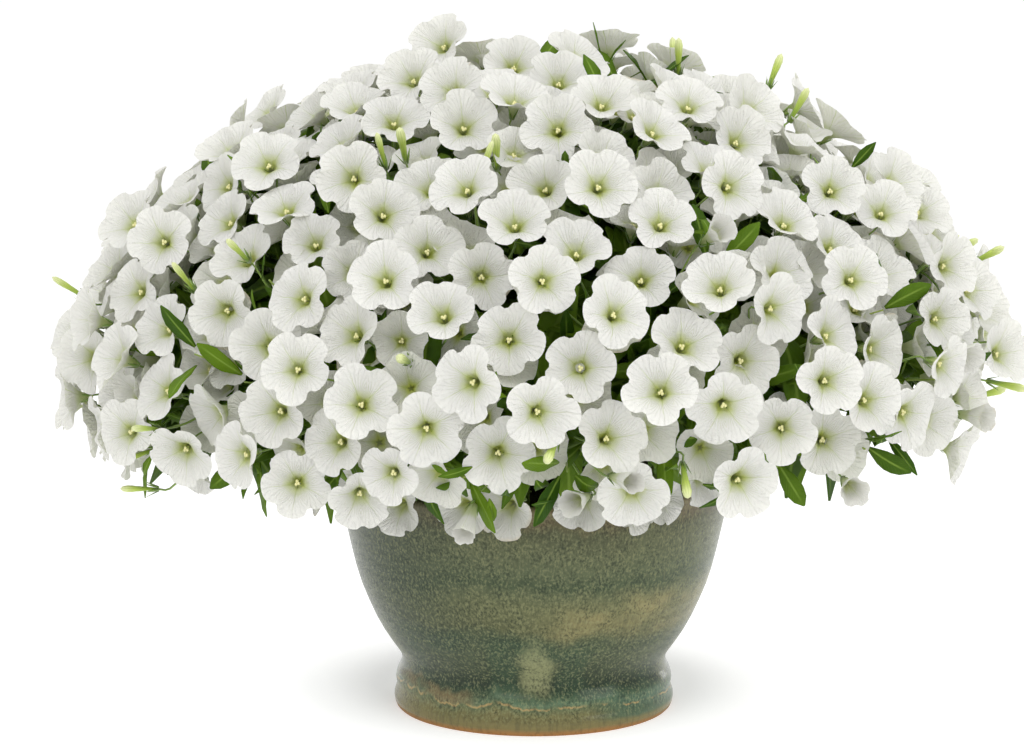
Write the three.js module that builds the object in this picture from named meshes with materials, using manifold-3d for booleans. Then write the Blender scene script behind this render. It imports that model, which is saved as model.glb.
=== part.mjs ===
// A potted petunia: a wheel-thrown glazed pot filled with soil, leafy shoots that stand in the
// soil, and sprays of white trumpet flowers on slim stalks that cover the shoots as a mound.
// Millimetres, +Z up. The origin is on the pot's axis, on the surface that the pot stands on.
import * as THREE from "three";
import { ConvexHull } from "three/addons/math/ConvexHull.js";
import { mergeGeometries, mergeVertices } from "three/addons/utils/BufferGeometryUtils.js";
import Module from "manifold-3d";

const wasm = await Module();
wasm.setup();

// The gap that pieces keep where they rest against each other
const GAP = 0.3;

// Pot
const POT_HEIGHT = 192;
const RIM_RADIUS = 159;
const WALL = 8;
const LIP_ROLL = 4.5;
const NECK_RADIUS = 107;
const NECK_HEIGHT = 38;
const BELLY = [
  [123, 67],
  [141, 107],
  [152, 147],
  [157.5, 180],
];
const BELLY_STEPS = 5;
const FOOT_RADIUS = 113.5;
const FOOT_ROLL = 8;
const FOOT_BAND = [
  [111, 17],
  [112, 23],
];
const BASE_RADIUS = 110;
const FLOOR_THICKNESS = 12;
const FLOOR_CURVE = 14;
const FOOT_RING_WIDTH = 18;
const FOOT_RECESS = 4;
const DRAIN_RADIUS = 9;
const POT_SIDES = 32;

// Soil
const SOIL_TOP = 166;
const SOIL_CROWN = 10;

// Mound: the skin that the outermost flowers lie in, widest at its middle height
const MOUND_RADIUS = 380;
const MOUND_CENTRE = new THREE.Vector3(5.5, 7, 306);
const MOUND_RISE = 238;
const MOUND_DROP = 150;
const RISE_POWER = 1.75;
const DROP_POWER = 3;
const SKIRT_ANGLE = THREE.MathUtils.degToRad(104.2);
const SKIRT_DROOP = 0.3;
const MOUND_SLICES = 240;

// How far the top of the mound leans to +X with its height, and how its skirt rises with +X
const MOUND_LEAN = -0.1;
const MOUND_TILT = 0.04;

// The swells and hollows of the mound: the share of its reach, the times round, the turns of the
// wave from top to bottom, where it starts, and how it fades towards the top
const SWELLS = [
  [0.02, 3, 0, -0.9, 2],
  [0.014, 5, 4, 3.7, 1],
];

// Places on the mound, and what grows at them
const SITE_COUNT = 356;
const BUD_SHARE = 0.05;
const LEAF_SHARE = 0.055;
const LAYERS = 4;
const LAYER_DEPTH = 7;
const LAYER_SPREAD = 3;
const FACE_SPREAD = 0.3;

// Flowers and buds
const PETALS = 5;
const BLOOM_RADIUS = 28;
const BLOOM_SPREAD = 3;
const NOTCH = 0.86;
const PETAL_WAVE = 2;
const THROAT_DEPTH = 12;
const TUBE_DEPTH = 23;
const TUBE_RADIUS = 2.6;
const STALK_RADIUS = 1.8;
const STALK_SIDES = 3;
const BUD_LENGTH = 26;
const BUD_RADIUS = 5;
const BUD_WIDEST = 0.4;
const STALK_TURN = THREE.MathUtils.degToRad(45);
const ELBOW_DROP = 9;

// The ways in which a flower makes room for its neighbours: its size, and how deep it sits
const WAYS_TO_CLEAR = [
  [1, 0],
  [1, 4],
  [1, -4],
  [0.93, 0],
  [0.93, 5],
  [0.86, 0],
  [0.86, 6],
  [0.78, 3],
];
const AS_IT_IS = [[1, 0]];

// Sprays: the knot in which a spray's stalks meet
const SPRAY_COUNT = 42;
const KNOT_DEPTH = 100;
const KNOT_RADIUS = 7;
const KNOT_HEIGHT = 6;
const KNOT_SIDES = 5;
const KNOT_REACHES = [9, 12, 15, 19, 24];
const NEIGHBOURHOOD = 160;

// Leafy shoots
const SHOOT_COUNT = 12;
const HEART = new THREE.Vector3(0, 0, 225);
const FORK_SHARE = 0.45;
const FORK_REACHES = [8, 11, 15, 20, 26];
const ROOT_SPREAD = 165;
const HOLE_RADIUS = 5.4;
const STEM_RADIUS = 5;
const STEM_SIDES = 5;
const STEM_SUNK = 45;
const STEM_UPRIGHT = 28;
const BRANCH_RADIUS = 3.6;
const TWIG_RADIUS = 1.8;
const TWIG_START = 0.5;
const NECK_LENGTH = 16;

// Leaves, by length and width: those under the sprays, and the tufts where no flower grows
const HEAD_LEAVES = 3;
const HEAD_LEAN = THREE.MathUtils.degToRad(52);
const HEAD_LEAF = [72, 19];
const TUFT_LEAVES = 3;
const TUFT_LEAN = THREE.MathUtils.degToRad(40);
const TUFT_LEAF = [40, 14];
const TUFT_DEPTH = 26;
const LEAF_WIDEST = 0.55;
const LEAF_DROOP = 0.16;
const LEAF_TRIES = 12;
const LEAF_CROWDING = 0.7;
const ROSETTE_HEART = 8;
const ROSETTE_PEAK = 3;
const WIDE_GAP = 0.9 * Math.PI;

// Chance in the placing: one seed for the whole plant
const SEED = 20731;

const MERGE_DISTANCE = 1e-3;
const OVERLAP_LIMIT = 1e-9;
const GOLDEN_ANGLE = Math.PI * (3 - Math.sqrt(5));
const UP = new THREE.Vector3(0, 0, 1);
const DOWN = new THREE.Vector3(0, 0, -1);
const FULL_TURN = 2 * Math.PI;

const finish = (color, roughness) =>
  new THREE.MeshStandardMaterial({ color, roughness, metalness: 0 });
const glaze = finish(0x6f7f68, 0.35);
const soilBrown = finish(0x3a2a1e, 0.95);
const leafGreen = finish(0x3f6b2a, 0.6);
const petalWhite = finish(0xf2f3ec, 0.55);

const plant = new THREE.Group();

// Even random numbers from 0 to 1, the same ones each time.
function seededRandom(seed) {
  let state = seed >>> 0;
  return () => {
    state = (Math.imul(state, 1664525) + 1013904223) >>> 0;
    return state / 4294967296;
  };
}

// The closed solid that a geometry's surface bounds.
function solidOf(geometry) {
  const bare = geometry.clone();
  bare.deleteAttribute("normal");
  bare.deleteAttribute("uv");
  const merged = mergeVertices(bare, MERGE_DISTANCE);
  return new wasm.Manifold(
    new wasm.Mesh({
      numProp: 3,
      vertProperties: merged.attributes.position.array,
      triVerts: new Uint32Array(merged.index.array),
    }),
  );
}

// A solid's surface as a geometry.
function geometryOf(solid) {
  const { numProp, numVert, vertProperties, triVerts } = solid.getMesh();
  const positions = new Float32Array(numVert * 3);
  for (let i = 0; i < numVert; i++) {
    positions.set(vertProperties.subarray(i * numProp, i * numProp + 3), i * 3);
  }
  return new THREE.BufferGeometry()
    .setAttribute("position", new THREE.BufferAttribute(positions, 3))
    .setIndex(new THREE.BufferAttribute(triVerts, 1));
}

// Adds a named piece to the plant.
function addPiece(name, geometry, material) {
  const mesh = new THREE.Mesh(geometry, material);
  mesh.name = name;
  plant.add(mesh);
}

// The point of a list that lies closest to a point.
const closest = (point, points) =>
  points.reduce((best, other) =>
    other.distanceToSquared(point) < best.distanceToSquared(point) ? other : best,
  );

// A profile of [radius, height] points, turned round the upright axis.
function turned(points, sides) {
  const profile = points.map(([radius, height]) => new THREE.Vector2(radius, height));
  return new THREE.LatheGeometry(profile, sides).rotateX(Math.PI / 2);
}

// Points of an arc in a profile, from one angle to another, in degrees.
function arc(radius, height, size, from, to, steps) {
  return Array.from({ length: steps + 1 }, (_, i) => {
    const angle = THREE.MathUtils.degToRad(from + ((to - from) * i) / steps);
    return [radius + size * Math.cos(angle), height + size * Math.sin(angle)];
  });
}

// The pot's belly from the neck to under the lip, set in from the outside by inset.
function belly(inset, steps) {
  const points = [[NECK_RADIUS, NECK_HEIGHT], ...BELLY];
  const curve = new THREE.SplineCurve(
    points.map(([radius, height]) => new THREE.Vector2(radius - inset, height)),
  );
  return curve.getPoints(steps).map(({ x, y }) => [x, y]);
}

// The pot's inside wall from the lip down to the floor, set in from the wall by inset.
function insideWall(inset) {
  const floor = [NECK_RADIUS - WALL - FLOOR_CURVE - inset, FLOOR_THICKNESS + inset];
  return [...belly(WALL + inset, 2).reverse(), floor];
}

function makePot() {
  const ringInside = BASE_RADIUS - FOOT_RING_WIDTH;
  const outside = [
    [BASE_RADIUS, 0],
    ...arc(FOOT_RADIUS - FOOT_ROLL, FOOT_ROLL + 1, FOOT_ROLL, -40, 35, 2),
    ...FOOT_BAND,
    ...belly(0, BELLY_STEPS),
    ...arc(RIM_RADIUS - LIP_ROLL, POT_HEIGHT - LIP_ROLL, LIP_ROLL, 0, 150, 3),
  ];
  const underneath = [
    [DRAIN_RADIUS, FLOOR_THICKNESS],
    [DRAIN_RADIUS, FOOT_RECESS],
    [ringInside, FOOT_RECESS],
    [ringInside, 0],
    [BASE_RADIUS, 0],
  ];
  addPiece("pot", turned([...outside, ...insideWall(0), ...underneath], POT_SIDES), glaze);
}

// The soil, with a plain hole for each stem.
function makeSoil(roots) {
  const [above, ...below] = insideWall(GAP);
  const [top] = below;
  const share = (above[1] - SOIL_TOP) / (above[1] - top[1]);
  const edge = THREE.MathUtils.lerp(above[0], top[0], share);
  const profile = [
    [0, SOIL_TOP + SOIL_CROWN],
    [edge, SOIL_TOP],
    ...below,
    [0, FLOOR_THICKNESS + GAP],
  ].reverse();
  let soil = solidOf(turned(profile, POT_SIDES));
  for (const root of roots) {
    const heights = [STEM_SUNK + 2 * SOIL_CROWN, -GAP];
    const mouth = heights.map((height) => root.clone().addScaledVector(UP, height));
    soil = soil.subtract(solidOf(tube(mouth, [HOLE_RADIUS, HOLE_RADIUS], STEM_SIDES)));
  }
  addPiece("soil", geometryOf(soil), soilBrown);
}

// The triangles between two rings that run the same way round. Where one has fewer points, each
// point of the fuller ring joins the nearest point of the other.
function stitched(near, far) {
  const fuller = near.length < far.length ? far : near;
  const sparser = near.length < far.length ? near : far;
  const triangles = [];
  const place = (points, i) => points[i % points.length];
  const add = (...corners) => triangles.push(fuller === near ? [...corners].reverse() : corners);
  const partner = fuller.map((point, i) =>
    near.length === far.length ? i : sparser.indexOf(closest(point, sparser)),
  );
  for (let i = 0; i < fuller.length; i++) {
    let from = partner[i];
    const to = place(partner, i + 1);
    add(place(sparser, from), fuller[i], place(fuller, i + 1));
    for (; from !== to; from = (from + 1) % sparser.length) {
      add(place(sparser, from), place(fuller, i + 1), place(sparser, from + 1));
    }
  }
  return triangles;
}

// A flat cap over a ring.
const capped = (points) =>
  points.slice(2).map((point, i) => [points[0], points[i + 1], point]);

// A surface over a list of rings. A ring is a list of points, or one point at a closed end. The
// first ring is closed by a flat cap, and so is the last one unless it is left open.
function skinned(rings, openEnd = false) {
  const triangles = capped(rings[0]);
  for (let i = 0; i + 1 < rings.length; i++) triangles.push(...stitched(rings[i], rings[i + 1]));
  if (!openEnd) triangles.push(...capped([...rings[rings.length - 1]].reverse()));
  return new THREE.BufferGeometry().setFromPoints(triangles.flat());
}

// Two unit vectors square to a direction and to each other.
function crossAxes(direction) {
  const helper = Math.abs(direction.z) < 0.9 ? UP : new THREE.Vector3(1, 0, 0);
  const side = new THREE.Vector3().crossVectors(helper, direction).normalize();
  return [side, new THREE.Vector3().crossVectors(direction, side)];
}

// A point at a place's own sideways, crosswise and outward distances.
function offset(origin, axes, sideways, crosswise, outward) {
  const [side, cross, out] = axes;
  return origin
    .clone()
    .addScaledVector(side, sideways)
    .addScaledVector(cross, crosswise)
    .addScaledVector(out, outward);
}

// A ring of points round a direction.
function ring(centre, direction, radius, sides) {
  const axes = [...crossAxes(direction), direction];
  return Array.from({ length: sides }, (_, i) => {
    const angle = (FULL_TURN * i) / sides;
    return offset(centre, axes, radius * Math.cos(angle), radius * Math.sin(angle), 0);
  });
}

// A tapered tube through points, first to last, with flat ends.
function tube(points, radii, sides) {
  const last = points.length - 1;
  const rings = points.map((point, i) => {
    const ahead = points[Math.min(i + 1, last)];
    const behind = points[Math.max(i - 1, 0)];
    return ring(point, ahead.clone().sub(behind).normalize(), radii[i], sides);
  });
  return skinned(rings.reverse());
}

// A ring of a stalk round one direction, leaned over to another without a twist.
function leanedRing(centre, direction, leaned, radius) {
  const lean = new THREE.Quaternion().setFromUnitVectors(direction, leaned);
  return ring(new THREE.Vector3(), direction, radius, STALK_SIDES).map((point) =>
    point.applyQuaternion(lean).add(centre),
  );
}

// How far the skin is from the mound's middle, at an angle from straight up.
function skinReach(polar) {
  const across = Math.sin(polar);
  const along = Math.cos(polar);
  const [height, power] = along > 0 ? [MOUND_RISE, RISE_POWER] : [MOUND_DROP, DROP_POWER];
  return (
    ((across / MOUND_RADIUS) ** power + (Math.abs(along) / height) ** power) ** (-1 / power)
  );
}

// The swells and hollows of a plant that grew freely, as a share of the skin's reach.
function swell(polar, azimuth) {
  return SWELLS.reduce(
    (sum, [share, round, down, start, fade]) =>
      sum + share * Math.sin(round * azimuth + down * polar + start) * Math.sin(polar) ** fade,
    1,
  );
}

// The angles from straight up at which the skin's area is split into equal shares.
function evenPolars(count) {
  const total = [0];
  const step = SKIRT_ANGLE / MOUND_SLICES;
  for (let i = 0; i < MOUND_SLICES; i++) {
    const [a, b] = [i * step, (i + 1) * step].map((polar) => {
      const reach = skinReach(polar);
      return [reach * Math.sin(polar), reach * Math.cos(polar)];
    });
    total.push(total[i] + (a[0] + b[0]) * Math.hypot(a[0] - b[0], a[1] - b[1]));
  }
  let slice = 0;
  return Array.from({ length: count }, (_, i) => {
    const wanted = (total[MOUND_SLICES] * (i + 0.5)) / count;
    while (total[slice + 1] < wanted) slice++;
    return step * (slice + (wanted - total[slice]) / (total[slice + 1] - total[slice]));
  });
}

// Evenly spread places on the skin, each with its point and the direction that faces out of it.
function placesOnSkin(count) {
  return evenPolars(count).map((polar, i) => {
    const azimuth = i * GOLDEN_ANGLE;
    const reach = skinReach(polar) * swell(polar, azimuth);
    const across = reach * Math.sin(polar);
    const along = reach * Math.cos(polar);
    const [height, power] = along > 0 ? [MOUND_RISE, RISE_POWER] : [MOUND_DROP, DROP_POWER];
    const slopeAcross = (across / MOUND_RADIUS) ** (power - 1) / MOUND_RADIUS;
    const slopeAlong = (Math.sign(along) * (Math.abs(along) / height) ** (power - 1)) / height;
    const heading = new THREE.Vector3(Math.cos(azimuth), Math.sin(azimuth), 0);
    const point = heading.clone().multiplyScalar(across).addScaledVector(UP, along);
    point.x += Math.max(along, 0) * MOUND_LEAN;
    point.z += point.x * MOUND_TILT;
    return {
      point: point.add(MOUND_CENTRE),
      out: heading.clone().multiplyScalar(slopeAcross).addScaledVector(UP, slopeAlong).normalize(),
    };
  });
}

// What grows at a place, by chance.
function kindOf(draw) {
  if (draw < BUD_SHARE) return "bud";
  return draw < BUD_SHARE + LEAF_SHARE ? "leaf" : "bloom";
}

// What grows at each place: a flower, a closed bud or a tuft of leaves, and how it is turned.
function growthSites() {
  const random = seededRandom(SEED);
  return placesOnSkin(SITE_COUNT).map(({ point, out }, i) => {
    const draws = Array.from({ length: 6 }, random);
    const [side, cross] = crossAxes(out);
    const facing = out
      .clone()
      .setZ(out.z < 0 ? out.z * SKIRT_DROOP : out.z)
      .normalize()
      .addScaledVector(side, (draws[0] - 0.5) * FACE_SPREAD)
      .addScaledVector(cross, (draws[1] - 0.5) * FACE_SPREAD)
      .normalize();
    const depth = (i % LAYERS) * LAYER_DEPTH + draws[2] * LAYER_SPREAD;
    return {
      index: i,
      kind: kindOf(draws[3]),
      place: point.clone().addScaledVector(out, -depth),
      out,
      facing,
      radius: BLOOM_RADIUS + draws[4] * BLOOM_SPREAD,
      turn: draws[5] * FULL_TURN,
    };
  });
}

const nearest = (point, candidates) =>
  candidates.reduce((best, item) =>
    item.point.distanceToSquared(point) < best.point.distanceToSquared(point) ? item : best,
  );

// The knot of each spray: where it sits, the way it faces, and the places that it carries.
function spraysOver(sites) {
  const sprays = placesOnSkin(SPRAY_COUNT).map(({ point, out }) => ({
    point,
    out,
    seat: point.clone().addScaledVector(out, -KNOT_DEPTH),
    sites: [],
  }));
  for (const site of sites) nearest(site.place, sprays).sites.push(site);
  return sprays;
}

// The rings of a stalk, from the back of a flower down to the knot. A stalk that would fold back
// along its flower turns at an elbow first.
function stalkRings(waist, facing, knot, reach, radius) {
  const rise = waist.clone().sub(knot).normalize();
  const rings = [ring(waist, facing, radius, STALK_SIDES)];
  if (rise.dot(facing) < Math.cos(STALK_TURN)) {
    const elbow = waist.clone().addScaledVector(facing, -ELBOW_DROP);
    const halfway = facing.clone().add(rise).normalize();
    rings.push(leanedRing(elbow, facing, halfway, STALK_RADIUS));
  }
  const end = knot.clone().addScaledVector(rise, reach);
  rings.push(leanedRing(end, facing, rise, STALK_RADIUS));
  return rings;
}

// The rings of a flower: its throat, five lobes, a narrowing tube behind, and the stalk.
function bloomRings(site, knot, reach, size, sink) {
  const { facing, turn } = site;
  const place = site.place.clone().addScaledVector(site.out, -sink);
  const radius = site.radius * size;
  const axes = [...crossAxes(facing), facing];
  const rim = Array.from({ length: 2 * PETALS }, (_, i) => {
    const angle = turn + (Math.PI * i) / PETALS;
    const reach = i % 2 ? radius * NOTCH : radius;
    const wave = PETAL_WAVE * Math.sin((PETALS / 2) * angle + site.index);
    return offset(place, axes, reach * Math.cos(angle), reach * Math.sin(angle), wave);
  });
  const throat = offset(place, axes, 0, 0, -THROAT_DEPTH);
  const waist = offset(place, axes, 0, 0, -TUBE_DEPTH);
  return [[throat], rim, ...stalkRings(waist, facing, knot, reach, TUBE_RADIUS)];
}

// The rings of a closed bud: a slim spindle on its stalk.
function budRings(site, knot, reach) {
  const { place, facing } = site;
  const tip = place.clone().addScaledVector(facing, BUD_LENGTH * BUD_WIDEST);
  const waist = place.clone().addScaledVector(facing, -BUD_LENGTH * (1 - BUD_WIDEST));
  return [
    [tip],
    ring(place, facing, BUD_RADIUS, STALK_SIDES),
    ...stalkRings(waist, facing, knot, reach, STALK_RADIUS),
  ];
}

const overlaps = (a, b) => a.intersect(b).volume() > OVERLAP_LIMIT;

// A knot where stalks or branches meet: the skin stretched over a flat base and the ends that
// meet there, left open at each end. Null where the skin would close over an end.
function knotGeometry(base, ends) {
  const skin = [];
  let opened = 0;
  for (const { edge } of new ConvexHull().setFromPoints([...base, ...ends.flat()]).faces) {
    const corners = [edge, edge.next, edge.next.next].map((side) => side.head().point);
    if (ends.some((end) => corners.every((corner) => end.includes(corner)))) opened++;
    else skin.push(...corners);
  }
  const wanted = ends.reduce((sum, end) => sum + end.length - 2, 0);
  return opened === wanted ? new THREE.BufferGeometry().setFromPoints(skin) : null;
}

// Skins that meet edge to edge, as one.
const joined = (skins) => mergeVertices(mergeGeometries(skins), MERGE_DISTANCE);

// The flowers and buds of a spray that clear their neighbours, with stalks that end at a reach
// from the middle of the knot.
function fillSpray(spray, neighbours, reach) {
  const knot = spray.seat.clone().addScaledVector(spray.out, KNOT_HEIGHT);
  const own = [];
  for (const site of spray.sites.filter(({ kind }) => kind !== "leaf")) {
    const isBud = site.kind === "bud";
    const near = [...neighbours, ...own].filter(
      ({ place }) => place.distanceTo(site.place) < NEIGHBOURHOOD,
    );
    for (const [size, sink] of isBud ? AS_IT_IS : WAYS_TO_CLEAR) {
      const rings = isBud
        ? budRings(site, knot, reach)
        : bloomRings(site, knot, reach, size, sink);
      const solid = solidOf(skinned(rings));
      if (near.some((other) => overlaps(other.solid, solid))) continue;
      own.push({ site, place: site.place, solid, rings });
      break;
    }
  }
  return own;
}

// Each spray as one body: a knot with its flowers and buds.
function growSprays(sprays) {
  const grown = [];
  sprays.forEach((spray, i) => {
    const { seat, out } = spray;
    const base = ring(seat.clone().addScaledVector(out, GAP), out, KNOT_RADIUS, KNOT_SIDES);
    for (const reach of KNOT_REACHES) {
      const own = fillSpray(spray, grown, reach);
      const knot = knotGeometry(base, own.map(({ rings }) => rings[rings.length - 1]));
      if (!knot) continue;
      const skins = own.map(({ rings }) => skinned(rings, true));
      spray.geometry = joined([knot, ...skins]);
      spray.body = solidOf(spray.geometry);
      own.forEach(({ site }) => (site.grown = true));
      grown.push(...own);
      addPiece(`spray_${i + 1}`, spray.geometry, petalWhite);
      break;
    }
  });
}

// The direction at an angle round a place and a lean away from the way that it faces.
function leaning([side, cross, out], angle, lean) {
  const across = Math.sin(lean);
  const origin = new THREE.Vector3();
  return offset(
    origin,
    [side, cross, out],
    across * Math.cos(angle),
    across * Math.sin(angle),
    Math.cos(lean),
  );
}

// The outline of a leaf that stands out from a place: its left edge, its tip and its right edge.
function leafOutline(centre, axes, angle, lean, [length, width]) {
  const foot = centre.clone().addScaledVector(leaning(axes, angle, Math.PI / 2), ROSETTE_HEART);
  const side = leaning(axes, angle + Math.PI / 2, Math.PI / 2);
  const widest = foot.clone().addScaledVector(leaning(axes, angle, lean), LEAF_WIDEST * length);
  return [
    widest.clone().addScaledVector(side, -width / 2),
    foot.clone().addScaledVector(leaning(axes, angle, lean + LEAF_DROOP), length),
    widest.clone().addScaledVector(side, width / 2),
  ];
}

// The angles, spread out, at which a rosette's leaves clear the flowers and the other shoots.
function leafAngles(build, wanted, turn, clear) {
  const room = (FULL_TURN * LEAF_CROWDING) / wanted;
  const angles = [];
  for (let i = 0; i < LEAF_TRIES && angles.length < wanted; i++) {
    const angle = turn + (i * FULL_TURN) / LEAF_TRIES;
    const near = angles.some(
      (other) => angle - other < room || other + FULL_TURN - angle < room,
    );
    if (!near && clear(build([...angles, angle]))) angles.push(angle);
  }
  return angles;
}

// The shoots, each with the sprays that it carries and the place where its stem stands.
function shootsUnder(sprays) {
  const heading = (point) => point.clone().sub(HEART).normalize();
  const shoots = placesOnSkin(SHOOT_COUNT).map(({ point, out }) => ({
    point: heading(point.addScaledVector(out, -KNOT_DEPTH)),
    sprays: [],
  }));
  for (const spray of sprays) nearest(heading(spray.seat), shoots).sprays.push(spray);
  for (const shoot of shoots) {
    const middle = new THREE.Vector3();
    for (const { seat } of shoot.sprays) middle.addScaledVector(seat, 1 / shoot.sprays.length);
    shoot.fork = HEART.clone().lerp(middle, FORK_SHARE);
    const spread = ROOT_SPREAD / MOUND_RADIUS;
    shoot.root = new THREE.Vector3(middle.x * spread, middle.y * spread, SOIL_TOP - STEM_SUNK);
    for (const spray of shoot.sprays) {
      const radii = [BRANCH_RADIUS + ROSETTE_HEART, BRANCH_RADIUS + ROSETTE_HEART];
      spray.branch = solidOf(tube([shoot.fork, spray.seat], radii, 3));
    }
  }
  return shoots;
}

// The rings of a rosette of leaves, from its top down its branch to where that starts. A neck
// carries what stands on the rosette.
function rosetteRings(rosette, angles, from, reach) {
  const { centre, axes, lean, size, radius, neck } = rosette;
  const out = axes[2];
  const heart = (angle) =>
    centre.clone().addScaledVector(leaning(axes, angle, Math.PI / 2), ROSETTE_HEART);
  const outline = angles.flatMap((angle, i) => {
    const gap = (i + 1 < angles.length ? angles[i + 1] : angles[0] + FULL_TURN) - angle;
    const notches = gap > WIDE_GAP ? [1 / 4, 1 / 2, 3 / 4] : [1 / 2];
    return [
      ...leafOutline(centre, axes, angle, lean, size),
      ...notches.map((share) => heart(angle + share * gap)),
    ];
  });
  const bare = [0, 1, 2, 3].map((quarter) => heart((quarter * FULL_TURN) / 4));
  const above = centre.clone().addScaledVector(out, ROSETTE_PEAK);
  const below = centre.clone().addScaledVector(out, -ROSETTE_PEAK);
  const rise = below.clone().sub(from).normalize();
  const start = from.clone().addScaledVector(rise, reach);
  return [
    ...(neck ? [ring(neck, out, KNOT_RADIUS, STALK_SIDES)] : []),
    neck ? ring(above, out, radius, STALK_SIDES) : [above],
    angles.length ? outline : bare,
    ring(below, out, radius, STALK_SIDES),
    leanedRing(start, out, rise, radius),
  ];
}

// A stem and its branches as one body, which meet in a knot at the fork. Where branches run too
// close together for a knot, they grow out of each other.
function forked(root, fork, branchesFrom) {
  const above = root.clone().setZ(SOIL_TOP + STEM_UPRIGHT);
  const climb = fork.clone().sub(above).normalize();
  const stemTo = (reach) => {
    const end = fork.clone().addScaledVector(climb, -reach);
    return [
      ring(root, DOWN, STEM_RADIUS, STEM_SIDES),
      ring(above, DOWN, STEM_RADIUS, STEM_SIDES),
      ring(end, climb.clone().negate(), BRANCH_RADIUS, STEM_SIDES),
    ];
  };
  for (const reach of FORK_REACHES) {
    const limbs = [stemTo(reach), ...branchesFrom(reach)];
    const knot = knotGeometry([], limbs.map((rings) => rings[rings.length - 1]));
    if (knot) return solidOf(joined([knot, ...limbs.map((rings) => skinned(rings, true))]));
  }
  return [stemTo(0), ...branchesFrom(0)]
    .map((rings) => solidOf(skinned(rings)))
    .reduce((body, limb) => body.add(limb));
}

// Whether a solid clears all of a list of solids.
const clears = (solid, others) => !others.some((other) => overlaps(other, solid));

// The rosettes under a shoot's sprays, with the leaves that have room: their branches keep clear
// of the other shoots, and their leaves also of the shoot's own branches.
function growHeads(shoot, shoots, sprays) {
  const heads = [];
  for (const spray of shoot.sprays) {
    const { seat, out, point } = spray;
    const near = sprays.filter((other) => other.point.distanceTo(point) < 2 * NEIGHBOURHOOD);
    const strangers = [
      ...near.map(({ body }) => body),
      ...near.filter((other) => !shoot.sprays.includes(other)).map(({ branch }) => branch),
      ...shoots.filter(({ body }) => body).map(({ body }) => body),
    ];
    const siblings = [
      ...shoot.sprays.filter((other) => other !== spray).map(({ branch }) => branch),
      ...heads.map(({ leaves }) => leaves),
    ];
    const rosette = {
      centre: seat.clone().addScaledVector(out, -NECK_LENGTH),
      axes: [...crossAxes(out), out],
      lean: HEAD_LEAN,
      size: HEAD_LEAF,
      radius: BRANCH_RADIUS,
      neck: seat,
    };
    const leavesOf = (rings) => solidOf(skinned(rings.slice(0, -1)));
    const angles = leafAngles(
      (some) => rosetteRings(rosette, some, shoot.fork, 0),
      HEAD_LEAVES,
      0,
      (rings) => clears(solidOf(skinned(rings)), strangers) && clears(leavesOf(rings), siblings),
    );
    const branchFrom = (reach) => rosetteRings(rosette, angles, shoot.fork, reach);
    heads.push({ spray, rosette, strangers, branchFrom, leaves: leavesOf(branchFrom(0)) });
  }
  return heads;
}

// A leafy shoot as one body: its stem from the soil, a branch to a rosette of leaves under each
// spray, and a twig with a smaller rosette to each leafy place that it can reach.
function growShoot(shoot, shoots, sprays) {
  const heads = growHeads(shoot, shoots, sprays);
  let body = forked(shoot.root, shoot.fork, (reach) =>
    heads.map(({ branchFrom }) => branchFrom(reach)),
  );
  for (const { spray, rosette, strangers } of heads) {
    const start = rosette.centre.clone().lerp(shoot.fork, TWIG_START);
    for (const site of spray.sites.filter(({ grown }) => !grown)) {
      const tuft = {
        centre: site.place.clone().addScaledVector(site.out, -TUFT_DEPTH),
        axes: [...crossAxes(site.out), site.out],
        lean: TUFT_LEAN,
        size: TUFT_LEAF,
        radius: TWIG_RADIUS,
      };
      const twigWith = (leaves) => rosetteRings(tuft, leaves, start, 0);
      const clear = (rings) => clears(solidOf(skinned(rings)), strangers);
      const twig = twigWith(leafAngles(twigWith, TUFT_LEAVES, site.turn, clear));
      if (clear(twig)) body = body.add(solidOf(skinned(twig)));
    }
  }
  return body;
}

const sites = growthSites();
const sprays = spraysOver(sites);
const shoots = shootsUnder(sprays);
makePot();
makeSoil(shoots.map(({ root }) => root));
growSprays(sprays);
shoots.forEach((shoot, i) => {
  shoot.body = growShoot(shoot, shoots, sprays);
  addPiece(`shoot_${i + 1}`, geometryOf(shoot.body), leafGreen);
});

export default plant;
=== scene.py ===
"""A potted petunia: a mound of white trumpet flowers and narrow leaves over a glazed bowl pot.

Sizes are in metres and angles in radians. +Z is up, the front faces -Y, and the origin is on the
pot's axis, on the surface that the pot stands on.
"""

import logging
import math
from collections.abc import Callable, Sequence
from dataclasses import dataclass, field, replace
from enum import Enum
from itertools import product

import bmesh
import bpy
import numpy as np
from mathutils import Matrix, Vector, kdtree, noise


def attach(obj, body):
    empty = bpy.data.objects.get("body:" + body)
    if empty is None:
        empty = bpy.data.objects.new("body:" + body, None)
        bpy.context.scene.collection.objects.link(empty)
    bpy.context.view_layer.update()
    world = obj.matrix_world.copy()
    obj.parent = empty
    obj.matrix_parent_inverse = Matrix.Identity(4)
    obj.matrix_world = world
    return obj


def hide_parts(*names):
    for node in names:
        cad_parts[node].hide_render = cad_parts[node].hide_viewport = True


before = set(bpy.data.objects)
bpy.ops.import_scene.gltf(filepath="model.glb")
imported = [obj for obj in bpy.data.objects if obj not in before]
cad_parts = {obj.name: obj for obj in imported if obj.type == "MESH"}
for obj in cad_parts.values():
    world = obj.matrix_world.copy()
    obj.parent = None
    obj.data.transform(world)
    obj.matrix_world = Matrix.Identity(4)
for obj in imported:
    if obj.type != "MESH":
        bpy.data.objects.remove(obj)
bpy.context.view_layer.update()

log = logging.getLogger("petunia")
Array = np.ndarray
Colour = tuple[float, float, float]
Pair = tuple[float, float]
Pairs = tuple[Pair, ...]
Triple = tuple[float, float, float]
Axes = tuple[Array, Array, Array]
Runs = list[tuple[Array, Array]]
Socket = bpy.types.NodeSocket
Thing = bpy.types.Object
Material = bpy.types.Material

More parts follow.
